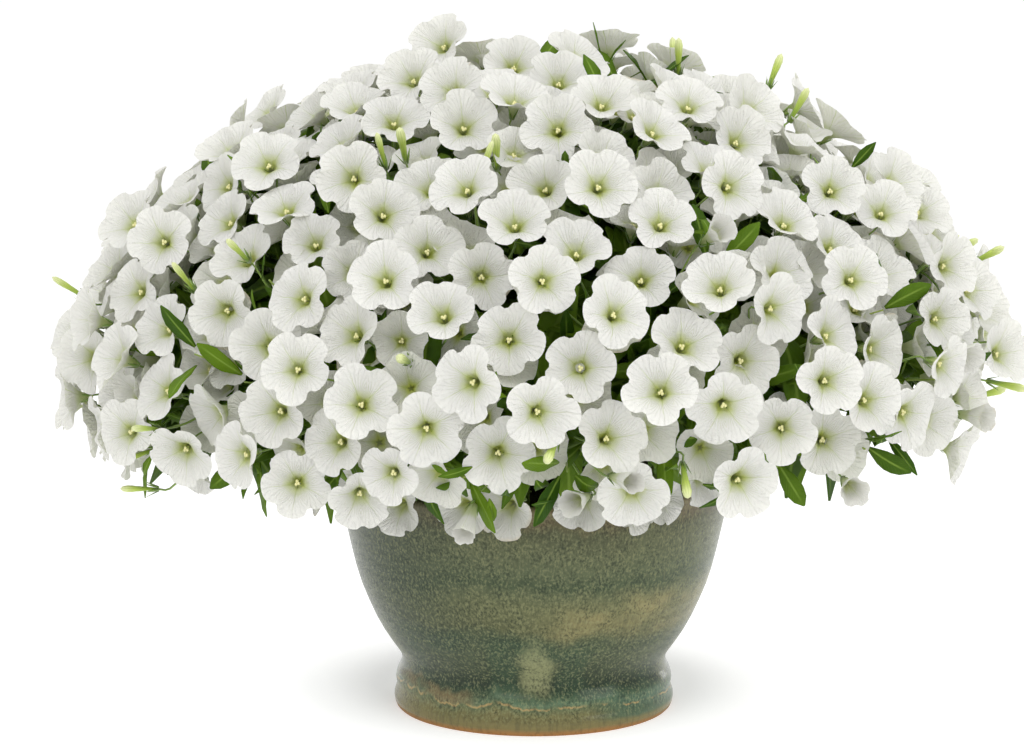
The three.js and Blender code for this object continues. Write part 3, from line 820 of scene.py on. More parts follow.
@dataclass(frozen=True)
class GlazeFinish:
    """A mottled sage glaze that breaks to ochre, pools teal at the neck and stops above a bare
    clay foot."""

    height: float = 0.192
    # The colours from the foot (0) to the lip (1)
    bands: tuple[tuple[float, Colour], ...] = (
        (0.000, (0.350, 0.160, 0.045)), (0.014, (0.310, 0.165, 0.055)),
        (0.028, (0.200, 0.165, 0.062)), (0.075, (0.185, 0.170, 0.066)),
        (0.105, (0.120, 0.148, 0.068)), (0.130, (0.118, 0.188, 0.106)),
        (0.165, (0.052, 0.096, 0.050)), (0.200, (0.012, 0.028, 0.012)),
        (0.260, (0.040, 0.058, 0.026)), (0.340, (0.070, 0.088, 0.042)),
        (0.400, (0.058, 0.078, 0.038)), (0.460, (0.104, 0.110, 0.046)),
        (0.560, (0.128, 0.138, 0.060)), (0.620, (0.106, 0.124, 0.058)),
        (0.660, (0.058, 0.082, 0.038)), (0.710, (0.094, 0.116, 0.056)),
        (0.800, (0.112, 0.126, 0.060)), (0.890, (0.092, 0.098, 0.045)),
        (0.945, (0.120, 0.092, 0.043)), (1.000, (0.240, 0.195, 0.105)),
    )
    ochre: Colour = (0.330, 0.275, 0.115)
    teal: Colour = (0.030, 0.066, 0.032)
    pale: Colour = (0.300, 0.310, 0.150)
    # Painted shade for the left side of the pot
    painted_left_shade: Colour = (0.040, 0.058, 0.034)
    speck: Colour = (0.020, 0.030, 0.016)
    fleck: Colour = (0.290, 0.300, 0.150)
    thread: Colour = (0.40, 0.29, 0.12)
    foot_run: Colour = (0.060, 0.125, 0.075)
    worn: Colour = (0.230, 0.165, 0.075)
    drips: int = 5

    def material(self) -> Material:
        """Makes the material."""
        n = Nodes("sage_glaze")
        place = n.place()
        x, y, z = n.parts(place)
        angle = n.calc("ARCTAN2", x, n.times(y, -1.0))
        level = n.calc("DIVIDE", z, self.height)
        # The glaze's edges wander, and run down in streaks
        wander = n.noise(n.whole(x, y, n.times(z, 0.35)), 14.0, 3)
        streak = n.noise(n.whole(x, y, n.times(z, 0.10)), 75.0, 3, 0.6)
        hatch = n.noise(n.whole(x, y, n.times(z, 0.14)), 420.0, 2, 0.6)
        calm = n.span(level, 0.02, 0.12)
        shift = n.plus(n.times(n.minus(wander, 0.5), 0.16), n.times(n.minus(streak, 0.5), 0.07))
        shift = n.times(shift, n.line(calm, 0.88, 0.12))
        shifted = n.plus(level, shift)
        colour = n.ramp(shifted, self.bands)
        colour = self.patches(n, colour, (x, y, z), angle, shifted, wander)
        # A thin ochre thread where two coats of glaze meet over the foot
        thread = n.calc("ABSOLUTE", n.minus(shifted, 0.112))
        thread = n.times(n.span(thread, 0.007, 0.002), n.span(streak, 0.36, 0.55))
        colour = n.mix(thread, colour, self.thread)
        # Mottling, fine upright hatching, and dark and pale specks
        mottle = n.noise(n.whole(x, y, n.times(z, 0.7)), 560.0, 3, 0.65)
        grain = n.noise(place, 900.0, 2, 0.7)
        coarse = n.noise(place, 90.0, 3)
        glazed = n.span(level, 0.03, 0.08)
        dark = n.times(n.span(mottle, 0.49, 0.63), n.span(coarse, 0.30, 0.62))
        colour = n.mix(n.times(dark, n.times(glazed, 0.66)), colour, self.speck)
        light = n.times(n.span(mottle, 0.50, 0.36), glazed)
        colour = n.mix(n.times(light, 0.46), colour, self.fleck)
        colour = n.mix(n.times(n.span(hatch, 0.45, 0.70), 0.30), colour, self.speck)
        # Throwing rings, under a skin that is smooth where the glaze is thick
        rings = n.calc("SINE", n.line(wander, 6.0, n.times(z, 620.0)))
        relief = n.line(rings, 0.5, n.times(mottle, 0.35))
        relief = n.line(grain, 0.2, relief)
        matt = n.times(n.span(mottle, 0.3, 0.7), 0.14)
        rough = n.plus(matt, n.between(n.span(level, 0.30, 0.18), 0.24, 0.09))
        rough = n.between(n.span(level, 0.035, 0.012), rough, 0.8)
        shader = n.surface(
            Base_Color=colour, Roughness=rough, Specular_IOR_Level=0.24, Coat_Weight=0.05,
            Coat_Roughness=0.12, Normal=n.bump(relief, 0.35 * MM, 0.4),
        )
        return n.finish(shader)

    def patches(
        self, n: Nodes, colour: Socket, place: tuple[Socket, ...], angle: Socket, level: Socket,
        wander: Socket,
    ) -> Socket:
        """Lays the ochre, teal and pale patches over the bands, and a painted shade that darkens
        the left side.

        Args:
            n: The glaze's nodes.
            colour: The banded colour.
            place: The x, y and z of a place.
            angle: The angle round the pot, from the front.
            level: The height from 0 to 1, shifted as the glaze has run.
            wander: A slow noise.

        Returns:
            The colour with its patches.
        """
        x, y, z = place
        blotch = n.noise(n.whole(x, y, n.times(z, 1.8)), 11.0, 4, 0.6)
        belly = n.times(n.span(level, 0.34, 0.48), n.span(level, 0.66, 0.54))
        right = n.span(n.calc("SINE", n.plus(angle, 0.1)), 0.0, 0.5)
        thin = n.times(n.times(n.span(blotch, 0.34, 0.64), belly), right)
        colour = n.mix(n.times(thin, 0.72), colour, self.ochre)
        low = n.times(n.span(level, 0.30, 0.37), n.span(level, 0.47, 0.40))
        left = n.span(n.calc("COSINE", n.plus(angle, 0.7)), 0.2, 0.9)
        thick = n.times(n.times(low, left), n.span(wander, 0.25, 0.5))
        colour = n.mix(n.times(thick, 0.85), colour, self.teal)
        # Painted shade: the pot's left side, from the foot's roll up, is darkened as less light
        # falls there
        left_shade_mask = n.span(n.calc("SINE", angle), -0.15, -0.85)
        left_shade_mask = n.times(left_shade_mask, n.span(level, 0.11, 0.18))
        colour = n.mix(n.times(left_shade_mask, 0.85), colour, self.painted_left_shade)
        # Pale drips that end above the neck, with one at the front, each beside a dark one
        crooked = n.line(n.minus(blotch, 0.5), 0.35, angle)
        for turned, spread, tone, share in (
            (0.26, (0.80, 0.98), self.teal, 0.65), (-0.28, (0.78, 0.98), self.teal, 0.6),
            (0.0, (0.66, 0.94), self.pale, 0.7),
        ):
            row = n.times(n.plus(crooked, turned - 0.02), float(self.drips))
            row = n.calc("COSINE", row)
            drip = n.span(row, *spread)
            top = n.line(row, -0.40, level)
            reach = n.times(n.span(level, 0.14, 0.21), n.span(top, 0.08, -0.08))
            ahead = n.between(n.span(n.calc("COSINE", angle), 0.4, 0.95), 0.3 * share, share)
            colour = n.mix(n.times(n.times(drip, reach), ahead), colour, tone)
        # Teal runs over the foot on the right, ochre over the roll on the left
        foot = n.times(n.span(level, 0.035, 0.06), n.span(level, 0.17, 0.13))
        over = n.span(n.calc("SINE", n.plus(angle, -0.1)), 0.25, 0.55)
        over = n.times(n.times(over, foot), n.span(blotch, 0.35, 0.55))
        colour = n.mix(n.times(over, 0.8), colour, self.foot_run)
        worn = n.span(n.calc("SINE", n.plus(angle, 0.1)), -0.15, -0.5)
        roll = n.times(n.span(level, 0.10, 0.125), n.span(level, 0.175, 0.145))
        worn = n.times(n.times(worn, roll), n.span(blotch, 0.40, 0.55))
        return n.mix(n.times(worn, 0.8), colour, self.worn)


@dataclass(frozen=True)
class FloorFinish:
    """The plain pale studio floor, which glows with painted light: least next to the pot, which
    paints its soft shadow there, most a little way out, and less further off.
    """

    colour: Colour = (0.62, 0.62, 0.62)
    # Painted light: how strongly it glows, at distances from the pot's axis in metres
    # Its weak glow next to the pot is a painted shadow
    glow: Pairs = (
        (0.13, 0.42), (0.17, 0.62), (0.22, 0.78), (0.30, 0.74), (0.55, 0.62), (1.0, 0.42)
    )
    # How far the painted shadow's middle lies behind the pot's axis, as light comes from the front
    shadow_back: float = 0.07

    def material(self) -> Material:
        """Makes the material."""
        n = Nodes("studio_floor")
        x, y, _ = n.parts(n.place())
        y = n.minus(y, self.shadow_back)
        away = n.calc("SQRT", n.plus(n.times(x, x), n.times(y, y)))
        # Painted light and shadow: the glow follows the distance from the painted shadow's middle
        glow = n.ramp(away, [(reach, (value,) * 3) for reach, value in self.glow])
        return n.finish(
            n.surface(
                Base_Color=self.colour, Roughness=0.9, Specular_IOR_Level=0.1,
                Emission_Color=(1.0, 1.0, 1.0), Emission_Strength=glow,
            )
        )


# How the plant grows: the same seeded rule as its solids


@dataclass(frozen=True)
class Place:
    """A place on the mound's skin."""

    point: Array
    out: Array


@dataclass(frozen=True)
class Mound:
    """The skin that the outermost flowers lie in, widest at its middle height."""

    radius: float = 380 * MM
    centre: Triple = (5.5 * MM, 7 * MM, 306 * MM)
    rise: float = 238 * MM
    drop: float = 150 * MM
    rise_power: float = 1.75
    drop_power: float = 3.0
    skirt_angle: float = math.radians(104.2)
    slices: int = 240
    lean: float = -0.1
    tilt: float = 0.04
    # Each swell's share of the reach, times round, turns down the side, start and fade
    swells: tuple[tuple[float, ...], ...] = ((0.02, 3, 0, -0.9, 2), (0.014, 5, 4, 3.7, 1))

    def half(self, along: float) -> Pair:
        """Returns the height and the power of the half that a height above the middle is in."""
        return (self.rise, self.rise_power) if along > 0 else (self.drop, self.drop_power)

    def reach(self, polar: float) -> float:
        """Returns how far the skin is from the middle, at an angle from straight up."""
        across, along = math.sin(polar), math.cos(polar)
        height, power = self.half(along)
        flat = (across / self.radius) ** power + (abs(along) / height) ** power
        return flat ** (-1 / power)

    def swell(self, polar: float, azimuth: float) -> float:
        """Returns the skin's swell at a direction, as a factor on its reach."""
        return 1 + sum(
            share * math.sin(around * azimuth + down * polar + start) * math.sin(polar) ** fade
            for share, around, down, start, fade in self.swells
        )

    def even_polars(self, count: int) -> list[float]:
        """Finds the angles from straight up that split the skin's area into equal shares.

        Args:
            count: The number of shares.

        Returns:
            The angle at the middle of each share.
        """
        step = self.skirt_angle / self.slices
        polars = np.arange(self.slices + 1) * step
        reach = np.array([self.reach(polar) for polar in polars])
        across, along = reach * np.sin(polars), reach * np.cos(polars)
        areas = (across[1:] + across[:-1]) * np.hypot(np.diff(across), np.diff(along))
        total = np.concatenate([[0], np.cumsum(areas)])
        wanted = total[-1] * (np.arange(count) + 0.5) / count
        return list(np.interp(wanted, total, polars))

    def places(self, count: int, turn: float = 0) -> list[Place]:
        """Spreads places evenly over the skin.

        Args:
            count: How many.
            turn: The azimuth that the first one starts at.

        Returns:
            The places, from the top down.
        """
        found = []
        for i, polar in enumerate(self.even_polars(count)):
            azimuth = i * GOLDEN_ANGLE + turn
            reach = self.reach(polar) * self.swell(polar, azimuth)
            across, along = reach * math.sin(polar), reach * math.cos(polar)
            height, power = self.half(along)
            slope_across = (across / self.radius) ** (power - 1) / self.radius
            slope_along = math.copysign((abs(along) / height) ** (power - 1) / height, along)
            heading = np.array([math.cos(azimuth), math.sin(azimuth), 0.0])
            point = heading * across + UP * along
            point[0] += max(along, 0) * self.lean
            point[2] += point[0] * self.tilt
            out = unit(heading * slope_across + UP * slope_along)
            found.append(Place(point + self.centre, out))
        return found


class Kind(Enum):
    """What grows at a place on the mound."""

    BLOOM = "bloom"
    BUD = "bud"
    TUFT = "tuft of leaves"


class Side(Enum):
    """The side of the plant that a piece is on."""

    TOP = "top"
    FRONT = "front"
    RIGHT = "right"
    BACK = "back"
    LEFT = "left"

    @staticmethod
    def of(out: Array) -> "Side":
        """Returns the side that a direction points to."""
        if out[2] > 0.8:
            return Side.TOP
        if abs(out[0]) > abs(out[1]):
            return Side.RIGHT if out[0] > 0 else Side.LEFT
        return Side.FRONT if out[1] < 0 else Side.BACK


@dataclass
class Growth:
    """A flower, bud or tuft: where it is, the way it faces, and the knot that it hangs on."""

    index: int
    kind: Kind
    place: Array
    out: Array
    facing: Array
    radius: float
    turn: float
    seat: Array = field(default_factory=lambda: np.zeros(3))
    side: Side = Side.TOP
    size: float = 1.0
    wave: float = 0.0
    chance: float = 0.0
    deep: float = 0.0
    # How far it is open, from 0, shut, to 1
    open: float = 1.0
    # How far it has tipped sideways and crosswise, off the way its solid faces
    lean: Pair = (0.0, 0.0)

    def axes(self) -> Axes:
        """Returns the sideways, crosswise and facing directions."""
        side, cross = cross_axes(self.facing)
        facing = unit(self.facing + self.lean[0] * side + self.lean[1] * cross)
        side = unit(np.cross(cross, facing))
        return side, np.cross(facing, side), facing

    def spokes(self) -> Array:
        """Returns the points of straight lines in a flower's face, from its throat to its rim."""
        side, cross, facing = self.axes()
        angle = np.arange(15)[:, None] * TURN / 15
        flat = (np.cos(angle) * side + np.sin(angle) * cross)[:, None]
        share = np.linspace(0.2, 0.95, 5)[:, None]
        reach = share * self.radius * self.size
        return self.place + reach * flat - THROAT * (1 - share) * facing


@dataclass
class Spray:
    """The knot that a bunch of flowers hangs on."""

    name: str
    out: Array
    point: Array
    seat: Array
    growths: list[Growth] = field(default_factory=list)

    @property
    def side(self) -> Side:
        """Returns the side of the plant that it is on."""
        return Side.of(self.out)


@dataclass
class Shoot:
    """A stem with its fork and the sprays that it carries."""

    name: str
    heading: Array
    sprays: list[Spray] = field(default_factory=list)
    root: Array = field(default_factory=lambda: np.zeros(3))
    fork: Array = field(default_factory=lambda: np.zeros(3))


class Corners:
    """The corners of the solids of some nodes, in which a place can be looked up."""

    def __init__(self, start: str) -> None:
        """Collects the corners of the nodes whose names have a start."""
        points = [
            vertex.co.copy()
            for name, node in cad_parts.items()
            if name.startswith(start)
            for vertex in node.data.vertices
        ]
        self.tree = kdtree.KDTree(len(points))
        for i, point in enumerate(points):
            self.tree.insert(point, i)
        self.tree.balance()

    def has(self, place: Array) -> bool:
        """Says whether a corner is at a place."""
        return self.tree.find(Vector(place))[2] < 0.3 * MM


class Cover:
    """The room that flowers take up, in which nothing else may stand."""

    # How far this room reaches in front of a flower, and behind its face
    above: float = 40 * MM
    behind: float = 3 * MM
    # How far off a flower can still be cut, and the share of its radius that counts then
    close: float = 78 * MM
    solid: float = 0.92

    def __init__(self, flowers: Sequence[Growth]) -> None:
        """Notes the flowers' faces."""
        self.middles = np.array([flower.place for flower in flowers])
        self.facings = np.array([flower.axes()[2] for flower in flowers])
        self.radii = np.array([flower.radius * flower.size for flower in flowers])

    def holds(self, point: Array) -> bool:
        """Says whether a point is in a flower's face, or just in front of it.

        Args:
            point: The point.

        Returns:
            Whether it is.
        """
        apart = point - self.middles
        height = np.einsum("ij,ij->i", apart, self.facings)
        beside = np.linalg.norm(apart - height[:, None] * self.facings, axis=1)
        funnel = -THROAT * (1 - np.clip(beside / self.radii, 0, 1))
        near = (beside < self.radii) & (height > funnel - self.behind)
        return bool(np.any(near & (height < self.above)))

    def note(self, index: int, flower: Growth) -> None:
        """Notes anew where a flower is and how it faces."""
        self.middles[index], self.facings[index] = flower.place, flower.axes()[2]

    def cuts(self, lines: Array, count: int | None = None) -> bool:
        """Says whether lines pass through a flower's face.

        Args:
            lines: The points of each line, in their order.
            count: How many of the flowers are looked at, if not all.

        Returns:
            Whether one does.
        """
        middles = self.middles[:count]
        near = np.linalg.norm(middles - lines.mean(axis=(0, 1)), axis=1) < self.close
        facings, radii = self.facings[:count][near], self.radii[:count][near]
        apart = lines[:, :, None] - middles[near]
        height = np.einsum("ijkl,kl->ijk", apart, facings)
        beside = np.linalg.norm(apart - height[..., None] * facings, axis=3) / radii
        ahead = height > -THROAT * (1 - np.clip(beside, 0, 1))
        inside = beside < self.solid
        crossed = (ahead[:, 1:] != ahead[:, :-1]) & (inside[:, 1:] | inside[:, :-1])
        return bool(np.any(crossed))


@dataclass
class Plan:
    """Where everything on the plant grows."""

    mound: Mound = field(default_factory=Mound)
    site_count: int = 356
    bud_share: float = 0.05
    leaf_share: float = 0.055
    layers: int = 4
    layer_depth: float = 7 * MM
    layer_spread: float = 3 * MM
    face_spread: float = 0.3
    skirt_droop: float = 0.3
    bloom_radius: float = 28 * MM
    bloom_spread: float = 3 * MM
    notch: float = 0.86
    petal_wave: float = 2 * MM
    ways_to_clear: Pairs = (
        (1, 0), (1, 4), (1, -4), (0.93, 0), (0.93, 5), (0.86, 0), (0.86, 6), (0.78, 3),
    )
    spray_count: int = 42
    knot_depth: float = 100 * MM
    knot_height: float = 6 * MM
    shoot_count: int = 12
    heart: Triple = (0, 0, 225 * MM)
    fork_share: float = 0.45
    root_spread: float = 165 / 380
    soil_top: float = 166 * MM
    stem_sunk: float = 45 * MM
    neck_length: float = 16 * MM
    # How far behind its place the leaves of a tuft grow
    tuft_depth: float = 26 * MM
    seed: int = 20731
    inner_seed: int = 907
    inner_count: int = 215
    inner_depth: float = 19 * MM
    inner_layer: float = 22 * MM
    # The smallest and largest radius, in millimetres
    inner_radius: Pair = (24, 28)
    inner_wave: float = 2.5 * MM
    tip_spread: float = 0.42
    tip_outward: float = 0.3
    # The way that the light has drawn the flowers
    tip_light: Triple = (0.0, -0.32, 0.04)
    parting_steps: int = 6
    parting_sink: float = 4.5 * MM
    gap_seed: int = 5003
    gap_tries: int = 2600
    gap_room: float = 27 * MM
    gap_shares: tuple[float, ...] = (0.45, 0.1, 0.9, 0.6, 0.65)
    # The depths and radii of the flowers in the gaps, in millimetres
    gap_depth: Pair = (13, 23)
    gap_radius: Pair = (22, 27)
    bud_seed: int = 311
    bud_tries: int = 420
    half_open_share: float = 0.3
    young_radius: float = 24 * MM
    hanging_count: int = 26
    hanging_reach: Pair = (181 * MM, 205 * MM)
    hanging_height: Pair = (190 * MM, 206 * MM)

    def __post_init__(self) -> None:
        """Works out the growths, the sprays and the shoots."""
        self.growths = self.grow()
        self.sprays = self.bunch()
        self.shoots = self.carry()
        self.fill = self.fill_gaps()
        self.inner = self.grow_inner()
        self.part()
        self.young = self.grow_young()

    def grow(self) -> list[Growth]:
        """Places the outer flowers, buds and tufts by the seeded rule."""
        chance = Chance(self.seed)
        growths = []
        for i, place in enumerate(self.mound.places(self.site_count)):
            draws = [chance() for _ in range(6)]
            side, cross = cross_axes(place.out)
            facing = drooped(place.out, self.skirt_droop)
            facing = facing + side * (draws[0] - 0.5) * self.face_spread
            facing = unit(facing + cross * (draws[1] - 0.5) * self.face_spread)
            depth = (i % self.layers) * self.layer_depth + draws[2] * self.layer_spread
            kind = Kind.BLOOM
            if draws[3] < self.bud_share + self.leaf_share:
                kind = Kind.BUD if draws[3] < self.bud_share else Kind.TUFT
            growths.append(
                Growth(
                    index=i, kind=kind, place=place.point - depth * place.out, out=place.out,
                    facing=facing, radius=self.bloom_radius + draws[4] * self.bloom_spread,
                    turn=draws[5] * TURN, chance=chance_of(i), side=Side.of(place.out),
                )
            )
        return growths

    def bunch(self) -> list[Spray]:
        """Bunches the growths in sprays, and settles each flower as its solid stands."""
        sprays = []
        for i, place in enumerate(self.mound.places(self.spray_count)):
            seat = place.point - self.knot_depth * place.out
            sprays.append(Spray(f"spray_{i + 1}", place.out, place.point, seat))
        corners = Corners("spray")
        for growth in self.growths:
            spray = min(sprays, key=lambda s: float(np.sum((s.point - growth.place) ** 2)))
            spray.growths.append(growth)
            growth.seat = spray.seat + self.knot_height * spray.out
            growth.side = spray.side
            if growth.kind is Kind.BLOOM:
                self.settle(growth, corners)
                self.tip(growth)
        return sprays

    def settle(self, growth: Growth, corners: Corners) -> None:
        """Finds the size and depth at which a flower's solid clears its neighbours.

        Args:
            growth: The flower, which becomes a tuft if it has no solid.
            corners: The corners of the flowers' solids.
        """
        side, cross, facing = growth.axes()
        for size, sink in self.ways_to_clear:
            place = growth.place - sink * MM * growth.out
            found = 0
            for i in (0, 1):
                angle = growth.turn + math.pi * i / 5
                reach = growth.radius * size * (self.notch if i else 1)
                wave = self.petal_wave * math.sin(2.5 * angle + growth.index)
                point = place + reach * (math.cos(angle) * side + math.sin(angle) * cross)
                found += corners.has(point + wave * facing)
            if found == 2:
                growth.place, growth.size, growth.wave = place, size, self.petal_wave
                return
        growth.kind = Kind.TUFT

    def tip(self, growth: Growth) -> None:
        """Tips a flower a little at random, to the light, and outward the higher it stands."""
        chance = Chance(growth.index * 7919 + 17)
        chance()
        outward = unit(growth.out * [1, 1, 0] - [0, 1e-6, 0]) * max(0, growth.out[2])
        drawn = self.tip_outward * outward + self.tip_light
        side, cross, _ = growth.axes()
        growth.lean = tuple(
            chance.around(0, self.tip_spread) + float(drawn @ way) for way in (side, cross)
        )

    def carry(self) -> list[Shoot]:
        """Gives each spray to a shoot, and places the shoots' forks and roots."""
        heart = np.array(self.heart)
        shoots = [
            Shoot(f"shoot_{i + 1}", unit(place.point - self.knot_depth * place.out - heart))
            for i, place in enumerate(self.mound.places(self.shoot_count))
        ]
        for spray in self.sprays:
            heading = unit(spray.seat - heart)
            nearest = min(shoots, key=lambda s: float(np.sum((s.heading - heading) ** 2)))
            nearest.sprays.append(spray)
        for shoot in shoots:
            middle = np.mean([spray.seat for spray in shoot.sprays], axis=0)
            shoot.fork = heart + self.fork_share * (middle - heart)
            shoot.root = np.array(
                [*(middle[:2] * self.root_spread), self.soil_top - self.stem_sunk]
            )
        return shoots

    def grow_inner(self) -> list[Growth]:
        """Places the half-hidden flowers behind the outer ones, and those over the pot's rim."""
        chance = Chance(self.inner_seed)
        growths = []
        for i, place in enumerate(self.mound.places(self.inner_count, turn=1.1)):
            side, cross = cross_axes(place.out)
            facing = drooped(place.out, self.skirt_droop)
            facing = facing + side * chance.around(0, 0.5) + cross * chance.around(0, 0.5)
            depth = self.inner_depth + chance() * self.inner_layer
            growths.append(
                self.hung(
                    place.point, index=i, place=place.point - depth * place.out, out=place.out,
                    facing=unit(facing), radius=between(self.inner_radius, chance()) * MM,
                    turn=chance() * TURN, chance=chance(), deep=between((0.3, 0.8), chance()),
                )
            )
        for i in range(self.hanging_count):
            azimuth = i * TURN / self.hanging_count + chance.around(0, 0.07)
            heading = np.array([math.cos(azimuth), math.sin(azimuth), 0.0])
            reach = between(self.hanging_reach, chance())
            place = heading * reach + UP * between(self.hanging_height, chance())
            around = np.array([-heading[1], heading[0], 0.0])
            facing = heading + around * chance.around(0, 0.45) + UP * chance.around(-0.12, 0.22)
            growths.append(
                self.hung(
                    place, index=i + 500, place=place, out=heading, facing=unit(facing),
                    radius=between(self.inner_radius, chance()) * MM, turn=chance() * TURN,
                    chance=chance(), deep=0.05,
                )
            )
        return growths

    def fill_gaps(self) -> list[Growth]:
        """Places flowers a little deeper in, where the outer ones leave the widest gaps."""
        chance = Chance(self.gap_seed)
        middles = [flower.place for flower in flowers_of(self.growths)]
        growths = []
        for i, place in enumerate(self.mound.places(self.gap_tries, turn=2.9)):
            draws = [chance() for _ in range(8)]
            apart = np.array(middles) - place.point
            apart = apart - (apart @ place.out)[:, None] * place.out
            room = float(np.min(np.linalg.norm(apart, axis=1)))
            share = dict(zip(Side, self.gap_shares))[self.nearest(place.point).side]
            if room < self.gap_room or draws[0] > share:
                continue
            across, cross = cross_axes(place.out)
            facing = drooped(place.out, self.skirt_droop)
            facing = facing + across * (draws[1] - 0.5) * 0.7 + cross * (draws[2] - 0.5) * 0.7
            point = place.point - between(self.gap_depth, draws[3]) * MM * place.out
            middles.append(point)
            growths.append(
                self.hung(
                    place.point, index=i + 2000, place=point, out=place.out, facing=unit(facing),
                    radius=between(self.gap_radius, draws[4]) * MM, turn=draws[5] * TURN,
                    chance=draws[6], deep=between((0.12, 0.32), draws[7]),
                )
            )
        return growths

    def part(self) -> None:
        """Tips each flower back, or sinks a deeper one, until it cuts none of those before it."""
        flowers = flowers_of([*self.growths, *self.fill, *self.inner])
        cover = Cover(flowers)
        for i, flower in enumerate(flowers):
            place, lean = flower.place, np.array(flower.lean)
            for step in range(self.parting_steps):
                if flower.deep > HIDDEN:
                    flower.place = place - step * self.parting_sink * flower.out
                else:
                    flower.lean = tuple(lean * (1 - step / (self.parting_steps - 1)))
                cover.note(i, flower)
                if not cover.cuts(flower.spokes(), i):
                    break

    def grow_young(self) -> list[Growth]:
        """Places more buds and half-open flowers where they find room among the flowers."""
        chance = Chance(self.bud_seed)
        cover, hidden = Cover(flowers_of([*self.growths, *self.fill])), Cover(self.inner)
        growths = []
        for i, place in enumerate(self.mound.places(self.bud_tries, turn=0.4)):
            side, cross = cross_axes(place.out)
            facing = unit(
                place.out * [1, 1, 0.5 if place.out[2] < 0 else 1]
                + side * chance.around(0, 0.6)
                + cross * chance.around(0, 0.6)
            )
            half_open = chance() < self.half_open_share
            point = place.point - (26 * chance() - 11) * MM * place.out
            turn, own, opened = chance() * TURN, chance(), chance()
            if any(cover.holds(point + step * MM * facing) for step in (-12, -4, 4, 12)):
                continue
            if hidden.cuts(np.array([[point + step * MM * facing for step in (-26, -12, 2, 18)]])):
                continue
            growths.append(
                self.hung(
                    place.point, index=i + 1000, kind=Kind.BLOOM if half_open else Kind.BUD,
                    place=point, out=place.out, facing=facing, radius=self.young_radius,
                    turn=turn, wave=MM, chance=own, deep=0.07,
                    open=between((0.15, 0.55), opened) if half_open else 1,
                )
            )
        return growths

    def hung(self, near: Array, **own: object) -> Growth:
        """Hangs a flower or a bud on the knot that is nearest to a place.

        Args:
            near: The place.
            own: What the growth has of its own. It is a flower if no kind is among it.

        Returns:
            The growth.
        """
        spray = self.nearest(near)
        basics = {"kind": Kind.BLOOM, "wave": self.inner_wave}
        return Growth(**{**basics, **own}, seat=spray.seat, side=spray.side)

    def everything(self) -> list[Growth]:
        """Returns the growths of all kinds, outer and inner."""
        return [*self.growths, *self.fill, *self.inner, *self.young]

    def nearest(self, place: Array) -> Spray:
        """Returns the spray that is nearest to a place."""
        return min(self.sprays, key=lambda spray: float(np.sum((spray.point - place) ** 2)))


def flowers_of(growths: Sequence[Growth]) -> list[Growth]:
    """Returns the flowers among growths."""
    return [growth for growth in growths if growth.kind is Kind.BLOOM]


def chance_of(index: int) -> float:
    """Returns a fixed even number from 0 to 1 for an index."""
    return (index * 0.6180339887 + 0.31) % 1


# Flowers


